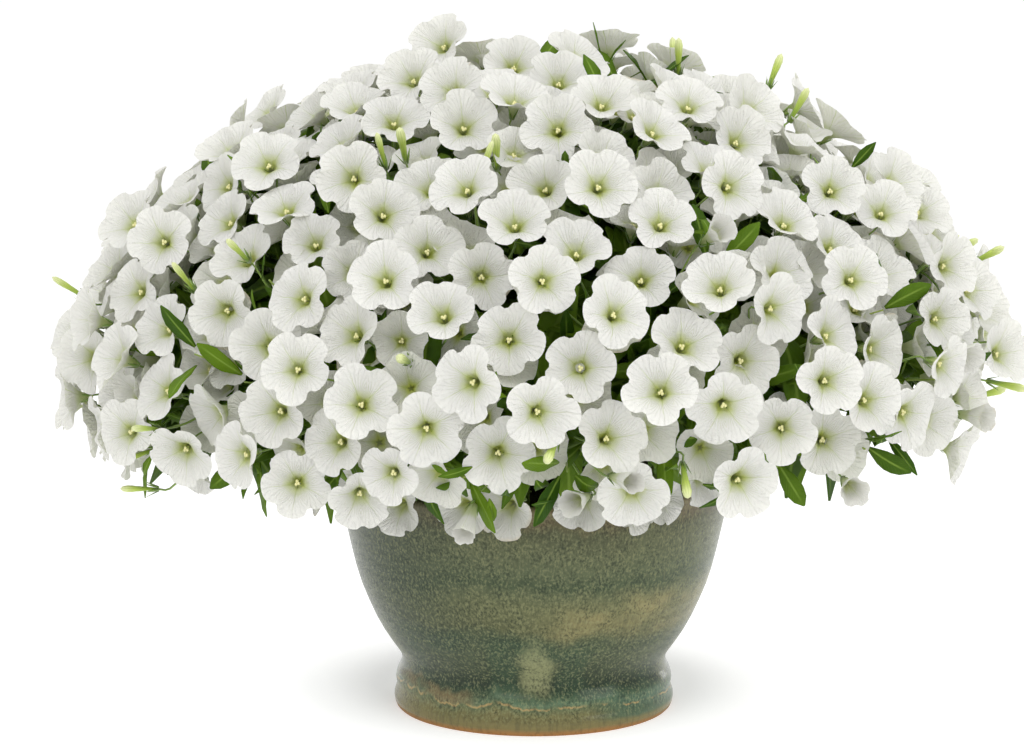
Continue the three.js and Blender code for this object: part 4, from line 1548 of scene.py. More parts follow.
@dataclass
class Flowers:
    """The white trumpet flowers, modelled once for each layer and cast at every place."""

    plan: Plan
    finish: PetalFinish = field(default_factory=PetalFinish)
    nominal: float = 28 * MM
    shown_size: float = 0.905
    notch_depth: float = 0.24
    roundness: float = 0.075
    crease: float = 0.85 * MM
    pucker: float = 0.9 * MM
    # The middle and the spread of what each petal bends at its tip, and the whole rim rises
    tip_bend: Pair = (-2.2 * MM, 3.2 * MM)
    rise: Pair = (1.5 * MM, 3.0 * MM)
    # How far each petal turns about its midrib, and how much flowers are oval and uneven
    tip_turn: float = 2.0 * MM
    oval: float = 0.035
    uneven: float = 0.045
    # Waves in the rim: how many there are round it, and how high, in millimetres
    waves: Pairs = ((2, 1.0), (3, 0.7), (7, 0.35), (9, 0.3), (11, 0.3))
    # The radius and height of each ring, in millimetres: up the outside and down the inside
    outer_form: Pairs = (
        (2.2, -23.5), (3.2, -16.5), (5.6, -12.0), (11.5, -7.9), (19.5, -4.1), (27.7, -0.35),
        (27.9, 0), (24.6, -1.1), (19.5, -3.3), (13.5, -6.2), (8.6, -8.9), (5.2, -11.9),
        (3.2, -16), (1.8, -20.5),
    )
    inner_form: Pairs = (
        (2.6, -22), (7.5, -10.4), (27.7, -0.4), (27.9, 0), (19.5, -3.5), (9.5, -8.6), (3.6, -14.5),
    )

    def model(self, name: str, sides: int, form: Pairs) -> Thing:
        """Models one flower: a trumpet whose limb is then shaped into five lobes.

        Args:
            name: The model's name.
            sides: The corners round it, a multiple of the five petals.
            form: Its rings.

        Returns:
            The model.
        """
        trumpet = turned_up(name, sides, form)
        places = corners_of(trumpet.data)
        share, across, _ = self.petal_grid(places)
        drawn_in = self.roundness * across**2 + self.notch_depth * np.abs(across) ** 6
        places[:, :2] *= (1 - share**2 * drawn_in)[:, None]
        places[:, 2] -= self.crease * share * np.exp(-((across / 0.22) ** 2))
        places[:, 2] += self.pucker * share * np.exp(-(((1 - np.abs(across)) / 0.3) ** 2))
        move_corners(trumpet.data, places)
        activate(trumpet)
        bpy.ops.object.shade_smooth_by_angle(angle=math.radians(62))
        return trumpet

    def petal_grid(self, places: Array) -> tuple[Array, Array, Array]:
        """Finds where places are on the five petals.

        Args:
            places: Places on the flower.

        Returns:
            How far out each one is, from 0 to 1, how far it is across its petal, from -1 to 1
            with the midrib at 0, and which petal it is on.
        """
        share = np.clip(np.hypot(places[:, 0], places[:, 1]) / self.nominal, 0, 1)
        petal = np.arctan2(places[:, 1], places[:, 0]) * 5 / TURN
        number = np.round(petal)
        return share, 2 * (petal - number), number.astype(int) % 5

    def flat(self, places: Array) -> Array:
        """Gives the petal pattern's coordinates: the flower seen from the front."""
        return np.clip(places[:, :2] / (2.02 * self.nominal) + 0.5, 0, 1)

    def shaped(self, growth: Growth, corners: Array) -> Array:
        """Bends a copy of the model to its own form and puts it in its place.

        Args:
            growth: The flower.
            corners: The model's vertices.

        Returns:
            The copy's vertices.
        """
        chance = Chance(growth.index * 7919 + int(growth.chance * 9973) + 17)
        x, y, z = corners.T
        share, across, number = self.petal_grid(corners)
        angle = np.arctan2(y, x)
        lift = self.wave(growth, angle) * share**2
        # Each petal bends back or forth at its tip, and turns about its midrib
        bends = np.array([chance.around(*self.tip_bend) for _ in range(5)])
        turns = np.array([chance.around(0, self.tip_turn) for _ in range(5)])
        lift += bends[number] * share**3 * (1 - 0.7 * across**2)
        lift += turns[number] * share**2.5 * across * (1 - 0.5 * across**2)
        for rounds, depth in self.waves:
            wave = np.sin(rounds * angle + chance() * TURN)
            lift += chance.around(0, depth * MM) * share ** min(rounds, 5) * wave
        lift += chance.around(*self.rise) * share**2
        oval = 1 + chance.around(0, self.oval) * np.sin(2 * angle + chance() * TURN)
        lengths = np.array([chance.around(1, self.uneven) for _ in range(5)])
        length = 1 + (lengths[number] - 1) * share * np.cos(across * math.pi / 2)
        grow = growth.size * growth.radius / self.nominal * oval * length * self.shown_size
        shut = 1 - growth.open
        narrow = 1 - 0.86 * shut * np.clip((share - 0.12) / 0.4, 0, 1)
        x, y = x * grow * narrow, y * grow * narrow
        z = z + lift * (1 - 0.6 * shut) + shut * share * 17 * MM
        side, cross, facing = growth.axes()
        cos, sin = math.cos(growth.turn), math.sin(growth.turn)
        sideways, crosswise = (x * cos - y * sin)[:, None], (x * sin + y * cos)[:, None]
        return growth.place + sideways * side + crosswise * cross + z[:, None] * facing

    def wave(self, growth: Growth, angle: Array) -> Array:
        """Gives the height of the solid's waved rim at angles round a flower."""
        corner = np.arange(11)
        heights = np.sin(2.5 * growth.turn + growth.index + corner * math.pi / 2) * growth.wave
        heights[10] = heights[0]
        return np.interp(angle % TURN, corner * TURN / 10, heights)

    def build(self) -> list[Thing]:
        """Casts every flower, joined in one piece for each side of the plant."""
        material = self.finish.material()
        moulds = (
            Mould(self.model("outer_flower", 50, self.outer_form), self.flat),
            Mould(self.model("inner_flower", 30, self.inner_form), self.flat),
        )
        for mould in moulds:
            mould.model.data.materials.append(material)
        pieces = []
        for side in Side:
            copies = []
            for bloom in flowers_of(self.plan.everything()):
                if bloom.side is side:
                    mould = moulds[bloom.deep > HIDDEN]
                    shape = self.shaped(bloom, mould.corners)
                    copies.append((mould, shape, bloom.chance, bloom.deep))
            piece = cast_piece(f"flowers_{side.value}", copies)
            names = [s.name for s in self.plan.sprays if s.side is side]
            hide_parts(*names)
            pieces.append(piece)
        for mould in moulds:
            mould.close()
        return pieces


@dataclass
class Hearts:
    """The pale anthers and stigma in each flower's throat."""

    plan: Plan
    finish: AntherFinish = field(default_factory=AntherFinish)
    size: float = 1.25 * MM
    depth: float = 10.8 * MM
    # Where they stand in the throat, in millimetres
    spots: tuple[Triple, ...] = ((0.9, 0.2, 0.5), (-0.8, 1.0, -0.2), (-0.4, -1.2, 0.1))

    def build(self) -> Thing:
        """Casts the hearts of the outer flowers as one piece."""
        sphere = bpy.ops.mesh.primitive_ico_sphere_add
        bead = started("anther", sphere, subdivisions=1, radius=self.size)
        bpy.ops.object.shade_smooth()
        bead.data.materials.append(self.finish.material())
        mould = Mould(bead, lambda places: places[:, :2] / (2 * self.size) * 0.9 + 0.5)
        copies = []
        for bloom in flowers_of([*self.plan.growths, *self.plan.fill]):
            side, cross, facing = bloom.axes()
            cos, sin = math.cos(bloom.turn), math.sin(bloom.turn)
            for x, y, z in self.spots:
                middle = (
                    bloom.place
                    + (x * cos - y * sin) * MM * side
                    + (x * sin + y * cos) * MM * cross
                    + (z * MM - self.depth) * facing
                )
                copies.append((mould, mould.corners * [1, 1, 1.2] + middle, bloom.chance, 0))
        piece = cast_piece("flower_hearts", copies)
        mould.close()
        return piece


# Green parts


@dataclass(frozen=True)
class LeafPlace:
    """Where a leaf grows: its foot, the way it points, the way its face looks, and its size."""

    foot: Array
    along: Array
    face: Array
    length: float
    width: float
    droop: float
    deep: float
    side: Side


@dataclass
class Leaves:
    """The narrow leaves: those of the solids, and the many small ones between the flowers."""

    plan: Plan
    finish: LeafFinish = field(default_factory=LeafFinish)
    nominal_length: float = 30 * MM
    nominal_width: float = 8 * MM
    thickness: float = 0.5 * MM
    # The width of each row of the small leaves and of the large ones, as a share of the whole
    rows: tuple[float, ...] = (0.14, 0.74, 1.0, 0.78, 0.07)
    large_rows: tuple[float, ...] = (0.16, 0.52, 0.86, 1.0, 0.97, 0.74, 0.10)
    core_rows: tuple[float, ...] = (0.20, 0.96, 0.86, 0.08)
    rosette_heart: float = 8 * MM
    head_lean: float = math.radians(52)
    head_leaf: Pair = (72 * MM, 19 * MM)
    tuft_lean: float = math.radians(40)
    tuft_leaf: Pair = (40 * MM, 14 * MM)
    leaf_droop: float = 0.16
    leaf_tries: int = 12
    # What is added to a leaf's droop, and the share of its length, until it cuts no flower
    ways_to_clear: Pairs = (
        (0, 1), (0.3, 1), (-0.3, 1), (0.6, 0.95), (0.3, 0.8), (0.9, 0.85), (0.6, 0.65), (1.2, 0.7),
        (0.8, 0.5),
    )
    small_count: int = 5200
    # The depths and lengths of the deeper small leaves, a third, and of the others, in millimetres
    small_forms: tuple[Pairs, Pairs] = (((55, 105), (38, 56)), ((15, 55), (19, 38)))
    core_count: int = 2000
    core_depth: Pair = (40, 115)
    core_length: Pair = (54, 80)
    core_seed: int = 613
    # Inside this radius and below this height stands the pot
    pot_room: Pair = (178 * MM, 200 * MM)
    seed: int = 4271

    def model(self, rows: Sequence[float], material: Material) -> Thing:
        """Models one leaf: a grid narrowed row by row, folded at its midrib and given a thickness.

        Args:
            rows: The width of each row, from the leaf's foot to its tip.
            material: Its finish.

        Returns:
            The model.
        """
        steps = len(rows) - 1
        length, width = self.nominal_length, self.nominal_width
        grid = bpy.ops.mesh.primitive_grid_add
        leaf = started("leaf", grid, x_subdivisions=steps, y_subdivisions=2, size=1)
        leaf.scale = (length, width, 1)
        leaf.location = (length / 2, 0, 0)
        apply_place(leaf)
        bpy.ops.object.mode_set(mode="EDIT")
        for i, row in enumerate(rows):
            place = length * i / steps
            pick(leaf, lambda co, place=place: abs(co.x - place) < NEAR)
            bpy.ops.transform.resize(value=(1, row, 1), center_override=(place, 0, 0))
        pick(leaf, lambda co: abs(co.y) < TOUCHING and NEAR < co.x < length - NEAR)
        bpy.ops.transform.translate(value=(0, 0, -0.1 * width))
        bpy.ops.object.mode_set(mode="OBJECT")
        blade = leaf.modifiers.new("blade", "SOLIDIFY")
        blade.thickness = self.thickness
        blade.offset = 0
        bpy.ops.object.modifier_apply(modifier=blade.name)
        bpy.ops.object.shade_smooth()
        leaf.data.materials.append(material)
        return leaf

    def flat(self, places: Array) -> Array:
        """Gives the leaf pattern's coordinates: along the leaf, and across it."""
        along = places[:, 0] / self.nominal_length
        return np.clip(np.column_stack([along, places[:, 1] / self.nominal_width + 0.5]), 0, 1)

    def shaped(self, leaf: LeafPlace, corners: Array, chance: Chance) -> Array:
        """Bends a copy of the model to its own form and puts it in its place.

        Args:
            leaf: The leaf.
            corners: The model's vertices.
            chance: The random numbers.

        Returns:
            The copy's vertices.
        """
        x, y, z = corners.T
        share = x / self.nominal_length
        long, wide = leaf.length / self.nominal_length, leaf.width / self.nominal_width
        twist = chance.around(0, 0.5) * share
        y, z = y * wide, z * (0.5 + 0.5 * wide)
        z = z + 0.13 * np.abs(y) * np.sin(9 * share + chance() * TURN)
        y, z = y * np.cos(twist) - z * np.sin(twist), y * np.sin(twist) + z * np.cos(twist)
        bend = leaf.droop * share
        x = x * long
        sweep = chance.around(0, 0.12) * leaf.length * share**2
        level = x * np.cos(bend)
        height = z - x * np.sin(bend)
        across = np.cross(leaf.face, leaf.along)
        return (
            leaf.foot
            + level[:, None] * leaf.along
            + (y + sweep)[:, None] * across
            + height[:, None] * leaf.face
        )

    def of_solids(self) -> list[LeafPlace]:
        """Finds the leaves of the shoots' solids, which grow in rosettes.

        Returns:
            The leaves.
        """
        plan, corners = self.plan, Corners("shoot")
        heads = [(spray, spray.seat - plan.neck_length * spray.out, 0) for spray in plan.sprays]
        tufts = [
            (growth, growth.place - plan.tuft_depth * growth.out, growth.turn)
            for growth in plan.growths
            if growth.kind is Kind.TUFT
        ]
        found = []
        for rosettes, lean, (length, width) in (
            (heads, self.head_lean, self.head_leaf), (tufts, self.tuft_lean, self.tuft_leaf),
        ):
            for (holder, centre, turn), i in product(rosettes, range(self.leaf_tries)):
                axes = (*cross_axes(holder.out), holder.out)
                angle = turn + i * TURN / self.leaf_tries
                foot = centre + self.rosette_heart * leaning(axes, angle, math.pi / 2)
                if corners.has(foot + length * leaning(axes, angle, lean + self.leaf_droop)):
                    along, _, face = blade_axes(axes, angle, lean)
                    form = (length, width, self.leaf_droop * 1.3, 0.4, holder.side)
                    found.append(LeafPlace(foot, along, unit(face), *form))
        return found

    def small(self) -> list[LeafPlace]:
        """Places the small leaves in the gaps between the flowers."""
        chance = Chance(self.seed)
        cover = Cover(flowers_of([*self.plan.growths, *self.plan.fill, *self.plan.inner]))
        found = []
        for i, place in enumerate(self.plan.mound.places(self.small_count, turn=2.3)):
            axes = (*cross_axes(place.out), place.out)
            depths, lengths = self.small_forms[i % 3 > 0]
            depth = between(depths, chance()) * MM
            foot = place.point - depth * place.out
            angle, lean = chance() * TURN, 0.1 + 1.1 * chance()
            along, _, face = blade_axes(axes, angle, lean)
            length = between(lengths, chance()) * MM
            width = length * chance.around(0.28, 0.06)
            if any(cover.holds(foot + share * length * along) for share in (0.5, 1.0)):
                continue
            # The deeper its foot, the more painted shade the leaf's finish gives it
            found.append(
                LeafPlace(
                    foot, along, unit(face), length, width,
                    chance.around(0.35, 0.35), min(1, max(0, depth - 22 * MM) / (80 * MM)),
                    Side.of(place.out),
                )
            )
        return found

    def core(self) -> list[LeafPlace]:
        """Places the broad leaves that lie flat, deep in the plant, and close its gaps."""
        chance = Chance(self.core_seed)
        radius, height = self.pot_room
        found = []
        for place in self.plan.mound.places(self.core_count, turn=0.9):
            axes = (*cross_axes(place.out), place.out)
            depth = between(self.core_depth, chance()) * MM
            angle, lean = chance() * TURN, 0.9 + 0.6 * chance()
            length = between(self.core_length, chance()) * MM
            foot = place.point - (depth + length * math.cos(lean)) * place.out
            along, _, face = blade_axes(axes, angle, lean)
            ends = (foot, foot + length * along)
            if any(math.hypot(*end[:2]) < radius and end[2] < height for end in ends):
                continue
            # These leaves lie deep, and get the full painted shade
            found.append(
                LeafPlace(
                    foot, along, unit(face), length, length * chance.around(0.36, 0.05),
                    chance.around(0.2, 0.3), 1.0, Side.of(place.out),
                )
            )
        return found

    def lines(self, leaf: LeafPlace) -> Array:
        """Returns the points of a leaf's midrib and of its two edges."""
        share = np.linspace(0.05, 1, 7)[:, None]
        reach = leaf.length * share
        level, down = reach * np.cos(leaf.droop * share), reach * np.sin(leaf.droop * share)
        midrib = leaf.foot + level * leaf.along - down * leaf.face
        half = 0.45 * leaf.width * np.sin(math.pi * share**0.8)
        edge = half * np.cross(leaf.face, leaf.along)
        return np.stack([midrib - edge, midrib, midrib + edge])

    def clear(self, leaf: LeafPlace, cover: Cover, kept: bool) -> LeafPlace | None:
        """Bends or shortens a leaf until it cuts no flower.

        Args:
            leaf: The leaf.
            cover: The flowers.
            kept: Whether it stays where nothing helps.

        Returns:
            The leaf as it then is, or None if it is left out.
        """
        for droop, share in self.ways_to_clear:
            tried = replace(leaf, droop=leaf.droop + droop, length=leaf.length * share)
            if not cover.cuts(self.lines(tried)):
                return tried
        return tried if kept else None

    def build(self) -> list[Thing]:
        """Casts every leaf, joined in one piece for each side of the plant."""
        material = self.finish.material()
        cover = Cover(flowers_of(self.plan.everything()))
        sets = [
            (rows, [self.clear(leaf, cover, kept) for leaf in own])
            for rows, own, kept in (
                (self.large_rows, self.of_solids(), True), (self.rows, self.small(), False),
                (self.core_rows, self.core(), False),
            )
        ]
        moulds = [Mould(self.model(rows, material), self.flat) for rows, _ in sets]
        leaves = [(leaf, mould) for mould, (_, own) in zip(moulds, sets) for leaf in own if leaf]
        chance = Chance(self.seed + 1)
        pieces = []
        for side in Side:
            copies = []
            for leaf, mould in leaves:
                if leaf.side is side:
                    shape = self.shaped(leaf, mould.corners, chance)
                    copies.append((mould, shape, chance(), leaf.deep))
            piece = cast_piece(f"leaves_{side.value}", copies)
            pieces.append(piece)
        for mould in moulds:
            mould.close()
        return pieces


@dataclass
class Stems:
    """The stems, branches and twigs of the shoots, and the stalks of the flowers."""

    plan: Plan
    stem_radius: float = 3.4 * MM
    branch_radius: float = 2.0 * MM
    stalk_radius: float = 0.75 * MM
    tube_depth: float = 23 * MM
    upright: float = 28 * MM
    # How far a stalk goes on behind a flower before it bends, and then sags
    straight: float = 9 * MM
    sag: float = 2 * MM
    stalk_finish: StemFinish = StemFinish("stalk_green", (0.15, 0.26, 0.04), (0.24, 0.36, 0.07))

    def shoot_runs(self) -> Runs:
        """Draws each shoot's stem, its branches to the sprays and its twigs to the tufts."""
        runs = []
        for shoot in self.plan.shoots:
            above = np.array([*shoot.root[:2], self.plan.soil_top + self.upright])
            line = smooth_run([shoot.root, above, shoot.fork], 5)
            runs.append((line, np.linspace(self.stem_radius, self.branch_radius, len(line))))
            for spray in shoot.sprays:
                neck = spray.seat - self.plan.neck_length * spray.out
                bend = shoot.fork + 0.5 * (neck - shoot.fork) + 6 * MM * UP
                line = smooth_run([shoot.fork, bend, neck, spray.seat + 5 * MM * spray.out], 4)
                runs.append((line, np.linspace(self.branch_radius, 1.5 * MM, len(line))))
                middle = 0.5 * (neck + shoot.fork)
                for growth in spray.growths:
                    if growth.kind is Kind.TUFT:
                        end = growth.place - (self.plan.tuft_depth - 3 * MM) * growth.out
                        halfway = 0.5 * (middle + end) - 5 * MM * UP
                        line = smooth_run([middle, halfway, end], 4)
                        runs.append((line, np.linspace(1.3 * MM, 0.7 * MM, len(line))))
        return runs

    def stalk_runs(self) -> Runs:
        """Draws the stalk of each flower and bud, from its back to its knot."""
        runs = []
        for growth in self.plan.everything():
            if growth.kind is Kind.TUFT:
                continue
            depth = self.tube_depth if growth.kind is Kind.BLOOM else BUD_FOOT
            facing = growth.axes()[2]
            waist = growth.place - depth * facing
            elbow = waist - self.straight * facing
            seat = growth.seat
            if growth.deep > 0:
                seat = waist + 0.45 * (growth.seat - waist)
            middle = 0.5 * (elbow + seat) - self.sag * UP
            line = smooth_run([waist + 1 * MM * facing, elbow, middle, seat], 3)
            runs.append((line, np.linspace(self.stalk_radius, 1.0 * MM, len(line))))
        return runs

    def build(self) -> list[Thing]:
        """Models the shoots' stems and the flowers' stalks."""
        stems = tubes("stems", self.shoot_runs(), 1)
        stems.data.materials.append(StemFinish().material())
        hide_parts(*[shoot.name for shoot in self.plan.shoots])
        stalks = tubes("flower_stalks", self.stalk_runs(), 0)
        stalks.data.materials.append(self.stalk_finish.material())
        return [stems, stalks]


@dataclass
class Calyxes:
    """The five narrow green sepals behind each outer flower."""

    plan: Plan
    length: float = 11 * MM
    radius: float = 1.3 * MM
    # Where the sepal is widest, from its foot
    waist: float = 4.95 * MM
    # How far behind a flower's place and a bud's its sepals grow
    depths: Pair = (23.5 * MM, 16 * MM)
    finish: StemFinish = StemFinish("sepal_green", (0.12, 0.22, 0.03), (0.22, 0.34, 0.06))

    def flat(self, places: Array) -> Array:
        """Gives the sepal pattern's coordinates: across it, and along it."""
        across = places[:, 0] / (4 * self.radius) + 0.5
        return np.column_stack([across, places[:, 2] / self.length])

    def build(self) -> Thing:
        """Casts the sepals of the outer flowers and buds as one piece."""
        sepal = started(
            "sepal", bpy.ops.mesh.primitive_cone_add, vertices=4, radius1=self.radius,
            radius2=0.2 * MM, depth=self.length, location=(0, 0, self.length / 2),
        )
        apply_place(sepal)
        edit_all()
        bpy.ops.mesh.bisect(plane_co=(0, 0, self.waist), plane_no=(0, 0, 1), use_fill=False)
        pick(sepal, lambda co: abs(co.z - self.waist) < NEAR)
        bpy.ops.transform.resize(value=(1.5, 0.9, 1), center_override=(0, 0, self.waist))
        bpy.ops.object.mode_set(mode="OBJECT")
        bpy.ops.object.shade_smooth()
        sepal.data.materials.append(self.finish.material())
        mould = Mould(sepal, self.flat)
        x, y, z = mould.corners.T[..., None]
        copies = []
        for growth in [*self.plan.growths, *self.plan.fill, *self.plan.young]:
            if growth.kind is Kind.TUFT:
                continue
            axes = growth.axes()
            foot = growth.place - self.depths[growth.kind is Kind.BUD] * axes[2]
            for i in range(5):
                angle = growth.turn + i * TURN / 5
                lean = 0.22 + 0.28 * chance_of(growth.index * 5 + i)
                along, across, face = blade_axes(axes, angle, lean)
                start = foot + 1.6 * MM * leaning(axes, angle, math.pi / 2)
                shape = start + x * across + 0.5 * y * face + z * along
                copies.append((mould, shape, growth.chance, 0))
        piece = cast_piece("sepals", copies)
        mould.close()
        return piece


@dataclass
class Buds:
    """The closed buds: slim, pleated and twisted to a cream tip."""

    plan: Plan
    length: float = 31 * MM
    form: Pairs = (
        (1.0, -15.6), (1.5, -11), (1.9, -6), (2.4, -1), (3.0, 5), (3.2, 9), (2.4, 13), (1.0, 15.4),
    )

    finish: BudFinish = field(default_factory=BudFinish)

    def flat(self, places: Array) -> Array:
        """Gives the bud pattern's coordinates: along the bud, and round it."""
        around = np.arctan2(places[:, 1], places[:, 0]) / TURN + 0.5
        return np.column_stack([(places[:, 2] + BUD_FOOT) / self.length, around])

    def build(self) -> Thing:
        """Casts the buds as one piece."""
        bud = turned_up("bud", 10, self.form)
        places = corners_of(bud.data)
        angle = np.arctan2(places[:, 1], places[:, 0])
        share = np.clip((places[:, 2] + 4 * MM) / (18 * MM), 0, 1)
        pleat = 1 + 0.16 * share * np.cos(5 * angle)
        twist = 1.5 * share
        radius = np.hypot(places[:, 0], places[:, 1]) * pleat
        places[:, 0], places[:, 1] = radius * np.cos(angle + twist), radius * np.sin(angle + twist)
        move_corners(bud.data, places)
        bud.data.materials.append(self.finish.material())
        mould = Mould(bud, self.flat)
        buds = [g for g in [*self.plan.growths, *self.plan.young] if g.kind is Kind.BUD]
        copies = []
        x, y, z = mould.corners.T
        for growth in buds:
            side, cross, facing = growth.axes()
            long, wide = 0.85 + 0.4 * growth.chance, 0.8 + 0.35 * chance_of(growth.index + 7)
            shape = growth.place + (z * long)[:, None] * facing
            shape = shape + wide * (x[:, None] * side + y[:, None] * cross)
            copies.append((mould, shape, growth.chance, 0))
        piece = cast_piece("buds", copies)
        mould.close()
        return piece


# Pot and soil


@dataclass
class Pot:
    """The thrown bowl pot with its rolled foot and lip."""

    steps: int = 144
    # The outside from the foot to under the lip, as radius and height in millimetres
    outside: Pairs = (
        (110, 0), (111.6, 1.6), (112.8, 4.5), (113.4, 8), (113.2, 11), (112.2, 14), (111.2, 17),
        (111.1, 19), (111.7, 21), (112, 23), (111.6, 26), (110.4, 30), (108.3, 34), (107, 38),
        (107.2, 42), (108.8, 46), (112, 50.5), (116.6, 57), (122.6, 66), (128.6, 77), (134.4, 90),
        (139.6, 103), (144, 117), (147.8, 131), (151, 145), (153.8, 159), (156, 171), (157.4, 179),
        (158.4, 184),
    )
    lip: Pairs = (
        (159, 187), (158.6, 189.6), (157.2, 191.4), (155, 192), (152.8, 191.5), (151.3, 190),
        (150.4, 187.5),
    )
    inside: Pairs = (
        (149.6, 180), (147.9, 170), (145, 155), (140, 131), (132, 103), (120, 74), (108, 52),
        (99, 34), (92, 21), (84, 14), (76, 12), (30, 12), (9, 12),
    )
    below: Pairs = ((9, 4), (60, 4), (90, 4), (92, 3), (92, 0.6), (93, 0), (108.6, 0))
    finish: GlazeFinish = field(default_factory=GlazeFinish)

    def build(self) -> Thing:
        """Models the pot: its section, spun round the axis, and its throwing rings."""
        section = [*self.outside, *self.lip, *self.inside, *self.below]
        circle = bpy.ops.mesh.primitive_circle_add
        pot = started("glazed_pot", circle, vertices=len(section), fill_type="NOTHING")
        points = np.array([(r * MM, 0, z * MM) for r, z in section])
        move_corners(pot.data, points)
        edit_all()
        bpy.ops.mesh.spin(steps=self.steps, angle=TURN, center=(0, 0, 0), axis=(0, 0, 1))
        bpy.ops.mesh.select_all(action="SELECT")
        bpy.ops.mesh.remove_doubles(threshold=NEAR)
        close_up()
        self.throw(pot)
        bpy.ops.object.shade_smooth_by_angle(angle=math.radians(40))
        pot.data.materials.append(self.finish.material())
        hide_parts("pot")
        return pot

    def throw(self, pot: Thing) -> None:
        """Gives the wall the slight unevenness of a pot thrown by hand."""
        places = corners_of(pot.data)
        x, y, z = places.T
        angle = np.arctan2(y, x)
        share = np.clip((z - 0.04) / 0.1, 0, 1) * np.clip((0.19 - z) / 0.02, 0, 1)
        uneven = 0.35 * MM * np.sin(angle + 9 * z) + 0.3 * MM * np.sin(2 * angle + 25 * z)
        rings = 0.25 * MM * np.sin(560 * z + 0.8 * np.sin(angle))
        radius = np.hypot(x, y)
        grow = 1 + share * (uneven + rings) / radius
        places[:, 0], places[:, 1] = x * grow, y * grow
        move_corners(pot.data, places)


@dataclass
class Soil:
    """The potting mix: an uneven crowned surface with crumbs and perlite on it."""

    # The radius and height from the bottom to the crown, in millimetres
    form: Pairs = (
        (76.0, 12.6), (84, 15), (98, 34), (119, 74), (131, 103), (139, 131), (144, 155),
        (146.2, 165), (140, 167.5), (128, 168.5), (114, 170), (100, 171.5), (85, 173), (70, 174),
        (55, 175), (40, 175.6), (26, 176), (12, 176),
    )
    top: float = 166 * MM
    crown: float = 10 * MM
    radius: float = 145.5 * MM
    crumbs: int = 420
    perlite: int = 90
    seed: int = 88

    def build(self) -> list[Thing]:
        """Models the soil and what lies on it."""
        soil = turned_up("potting_soil", 64, self.form)
        places = corners_of(soil.data)
        for i, (x, y, z) in enumerate(places):
            if z > self.top:
                fine = noise.noise((x * 140, y * 140, 7.0))
                places[i, 2] += 3 * MM * (noise.noise((x * 45, y * 45, 3.0)) + 0.6 * fine)
        move_corners(soil.data, places)
        soil.data.materials.append(SoilFinish().material())
        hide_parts("soil")
        pieces = [soil]
        chance = Chance(self.seed)
        for name, count, size, material in (
            ("soil_crumbs", self.crumbs, 4.5, SoilFinish().material()),
            ("perlite_crumbs", self.perlite, 2.6, PerliteFinish().material()),
        ):
            sphere = bpy.ops.mesh.primitive_ico_sphere_add
            crumb = started("crumb", sphere, subdivisions=1, radius=1)
            crumb.data.materials.append(material)
            mould = Mould(crumb, lambda places: places[:, :2] * 0.45 + 0.5)
            copies = []
            for _ in range(count):
                angle, reach = chance() * TURN, self.radius * math.sqrt(chance()) * 0.97
                height = self.top + self.crown * (1 - (reach / self.radius) ** 2)
                rough = np.array([[chance.around(1, 0.3)] * 3 for _ in mould.corners])
                squash = np.array([chance.around(1, 0.3), chance.around(1, 0.3), 0.7])
                body = mould.corners * rough * squash * size * MM * chance.around(0.6, 0.4)
                middle = (reach * math.cos(angle), reach * math.sin(angle), height + 1 * MM)
                copies.append((mould, body + middle, chance(), 0))
            pieces.append(cast_piece(name, copies))
            mould.close()
        return pieces


# Studio


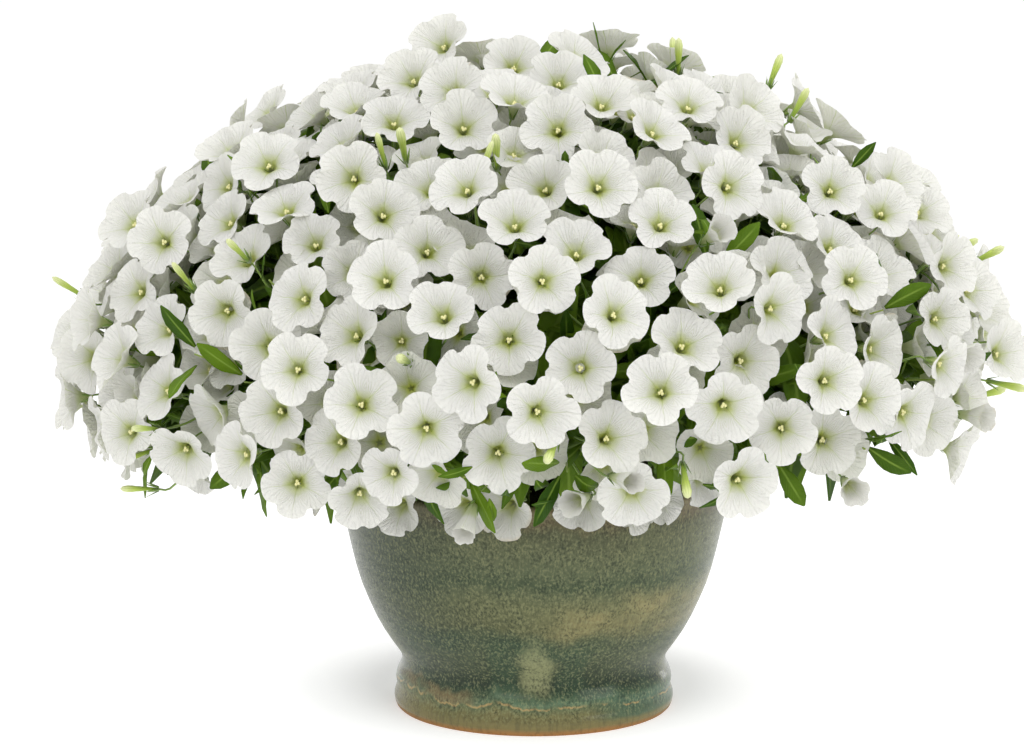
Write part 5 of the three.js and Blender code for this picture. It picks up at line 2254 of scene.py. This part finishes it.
@dataclass
class Studio:
    """A pale floor, soft lights and the camera."""

    camera_place: Triple = (-0.0177, -2.66, 0.683)
    camera_target: Triple = (-0.0177, 0.0, 0.271)
    light_target: Triple = (0.0, 0.0, 0.28)
    lens: float = 117.8
    ambient: float = 0.95

    def build(self) -> None:
        """Sets up the floor, the lights, the camera and the picture's tones."""
        self.lay_floor()
        self.light()
        self.set_camera()
        scene = bpy.context.scene
        scene.view_settings.view_transform = "Standard"
        scene.view_settings.look = "None"

    def lay_floor(self) -> None:
        """Lays the floor."""
        floor = started("studio_floor", bpy.ops.mesh.primitive_plane_add, size=80)
        floor.data.materials.append(FloorFinish().material())

    def aim(self, thing: Thing, place: Triple, target: Triple) -> None:
        """Puts a lamp or the camera in the scene.

        Args:
            thing: The lamp or camera.
            place: Where it stands.
            target: What it is pointed at.
        """
        thing.location = place
        way = Vector(target) - Vector(place)
        thing.rotation_euler = way.to_track_quat("-Z", "Y").to_euler()
        bpy.context.scene.collection.objects.link(thing)

    def lamp(self, name: str, place: Triple, size: float, power: float) -> None:
        """Adds a soft box that faces the plant."""
        data = bpy.data.lights.new(name, "AREA")
        data.shape = "RECTANGLE"
        data.size = data.size_y = size
        data.energy = power
        lamp = bpy.data.objects.new(name, data)
        self.aim(lamp, place, self.light_target)

    def light(self) -> None:
        """Lights the plant softly from all round, with more from above and the left."""
        world = bpy.data.worlds.new("studio")
        world.use_nodes = True
        back = world.node_tree.nodes["Background"]
        back.inputs[0].default_value = (1, 1, 1, 1)
        back.inputs[1].default_value = self.ambient
        bpy.context.scene.world = world
        self.lamp("key_light", (-0.8, -2.3, 2.5), 1.5, 20.5)
        self.lamp("top_light", (0.3, 0.2, 2.6), 2.0, 12)
        self.lamp("right_fill", (2.3, -1.5, 1.4), 1.6, 13)
        self.lamp("right_strip", (1.4, 2.1, 0.6), 1.2, 11)

    def set_camera(self) -> None:
        """Sets the camera at the photograph's viewing angle."""
        data = bpy.data.cameras.new("camera")
        data.lens = self.lens
        data.sensor_width = 36
        data.clip_end = 200
        camera = bpy.data.objects.new("camera", data)
        self.aim(camera, self.camera_place, self.camera_target)
        bpy.context.scene.camera = camera


def main() -> None:
    """Builds the studio and the plant, piece by piece, and notes the sizes."""
    logging.basicConfig(level=logging.INFO, format="%(name)s: %(message)s")
    Studio().build()
    plan = Plan()
    kinds = {kind: sum(g.kind is kind for g in plan.growths) for kind in Kind}
    log.info("places: %s", {kind.value: count for kind, count in kinds.items()})
    pieces = [Pot().build(), *Soil().build(), *Flowers(plan).build(), Hearts(plan).build()]
    pieces += [*Leaves(plan).build(), *Stems(plan).build(), Calyxes(plan).build()]
    pieces += [Buds(plan).build()]
    for piece in pieces:
        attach(piece, "root")
        faces = sum(len(face.vertices) - 2 for face in piece.data.polygons)
        log.info("%s: %d triangles", piece.name, faces)


if __name__ == "__main__":
    main()
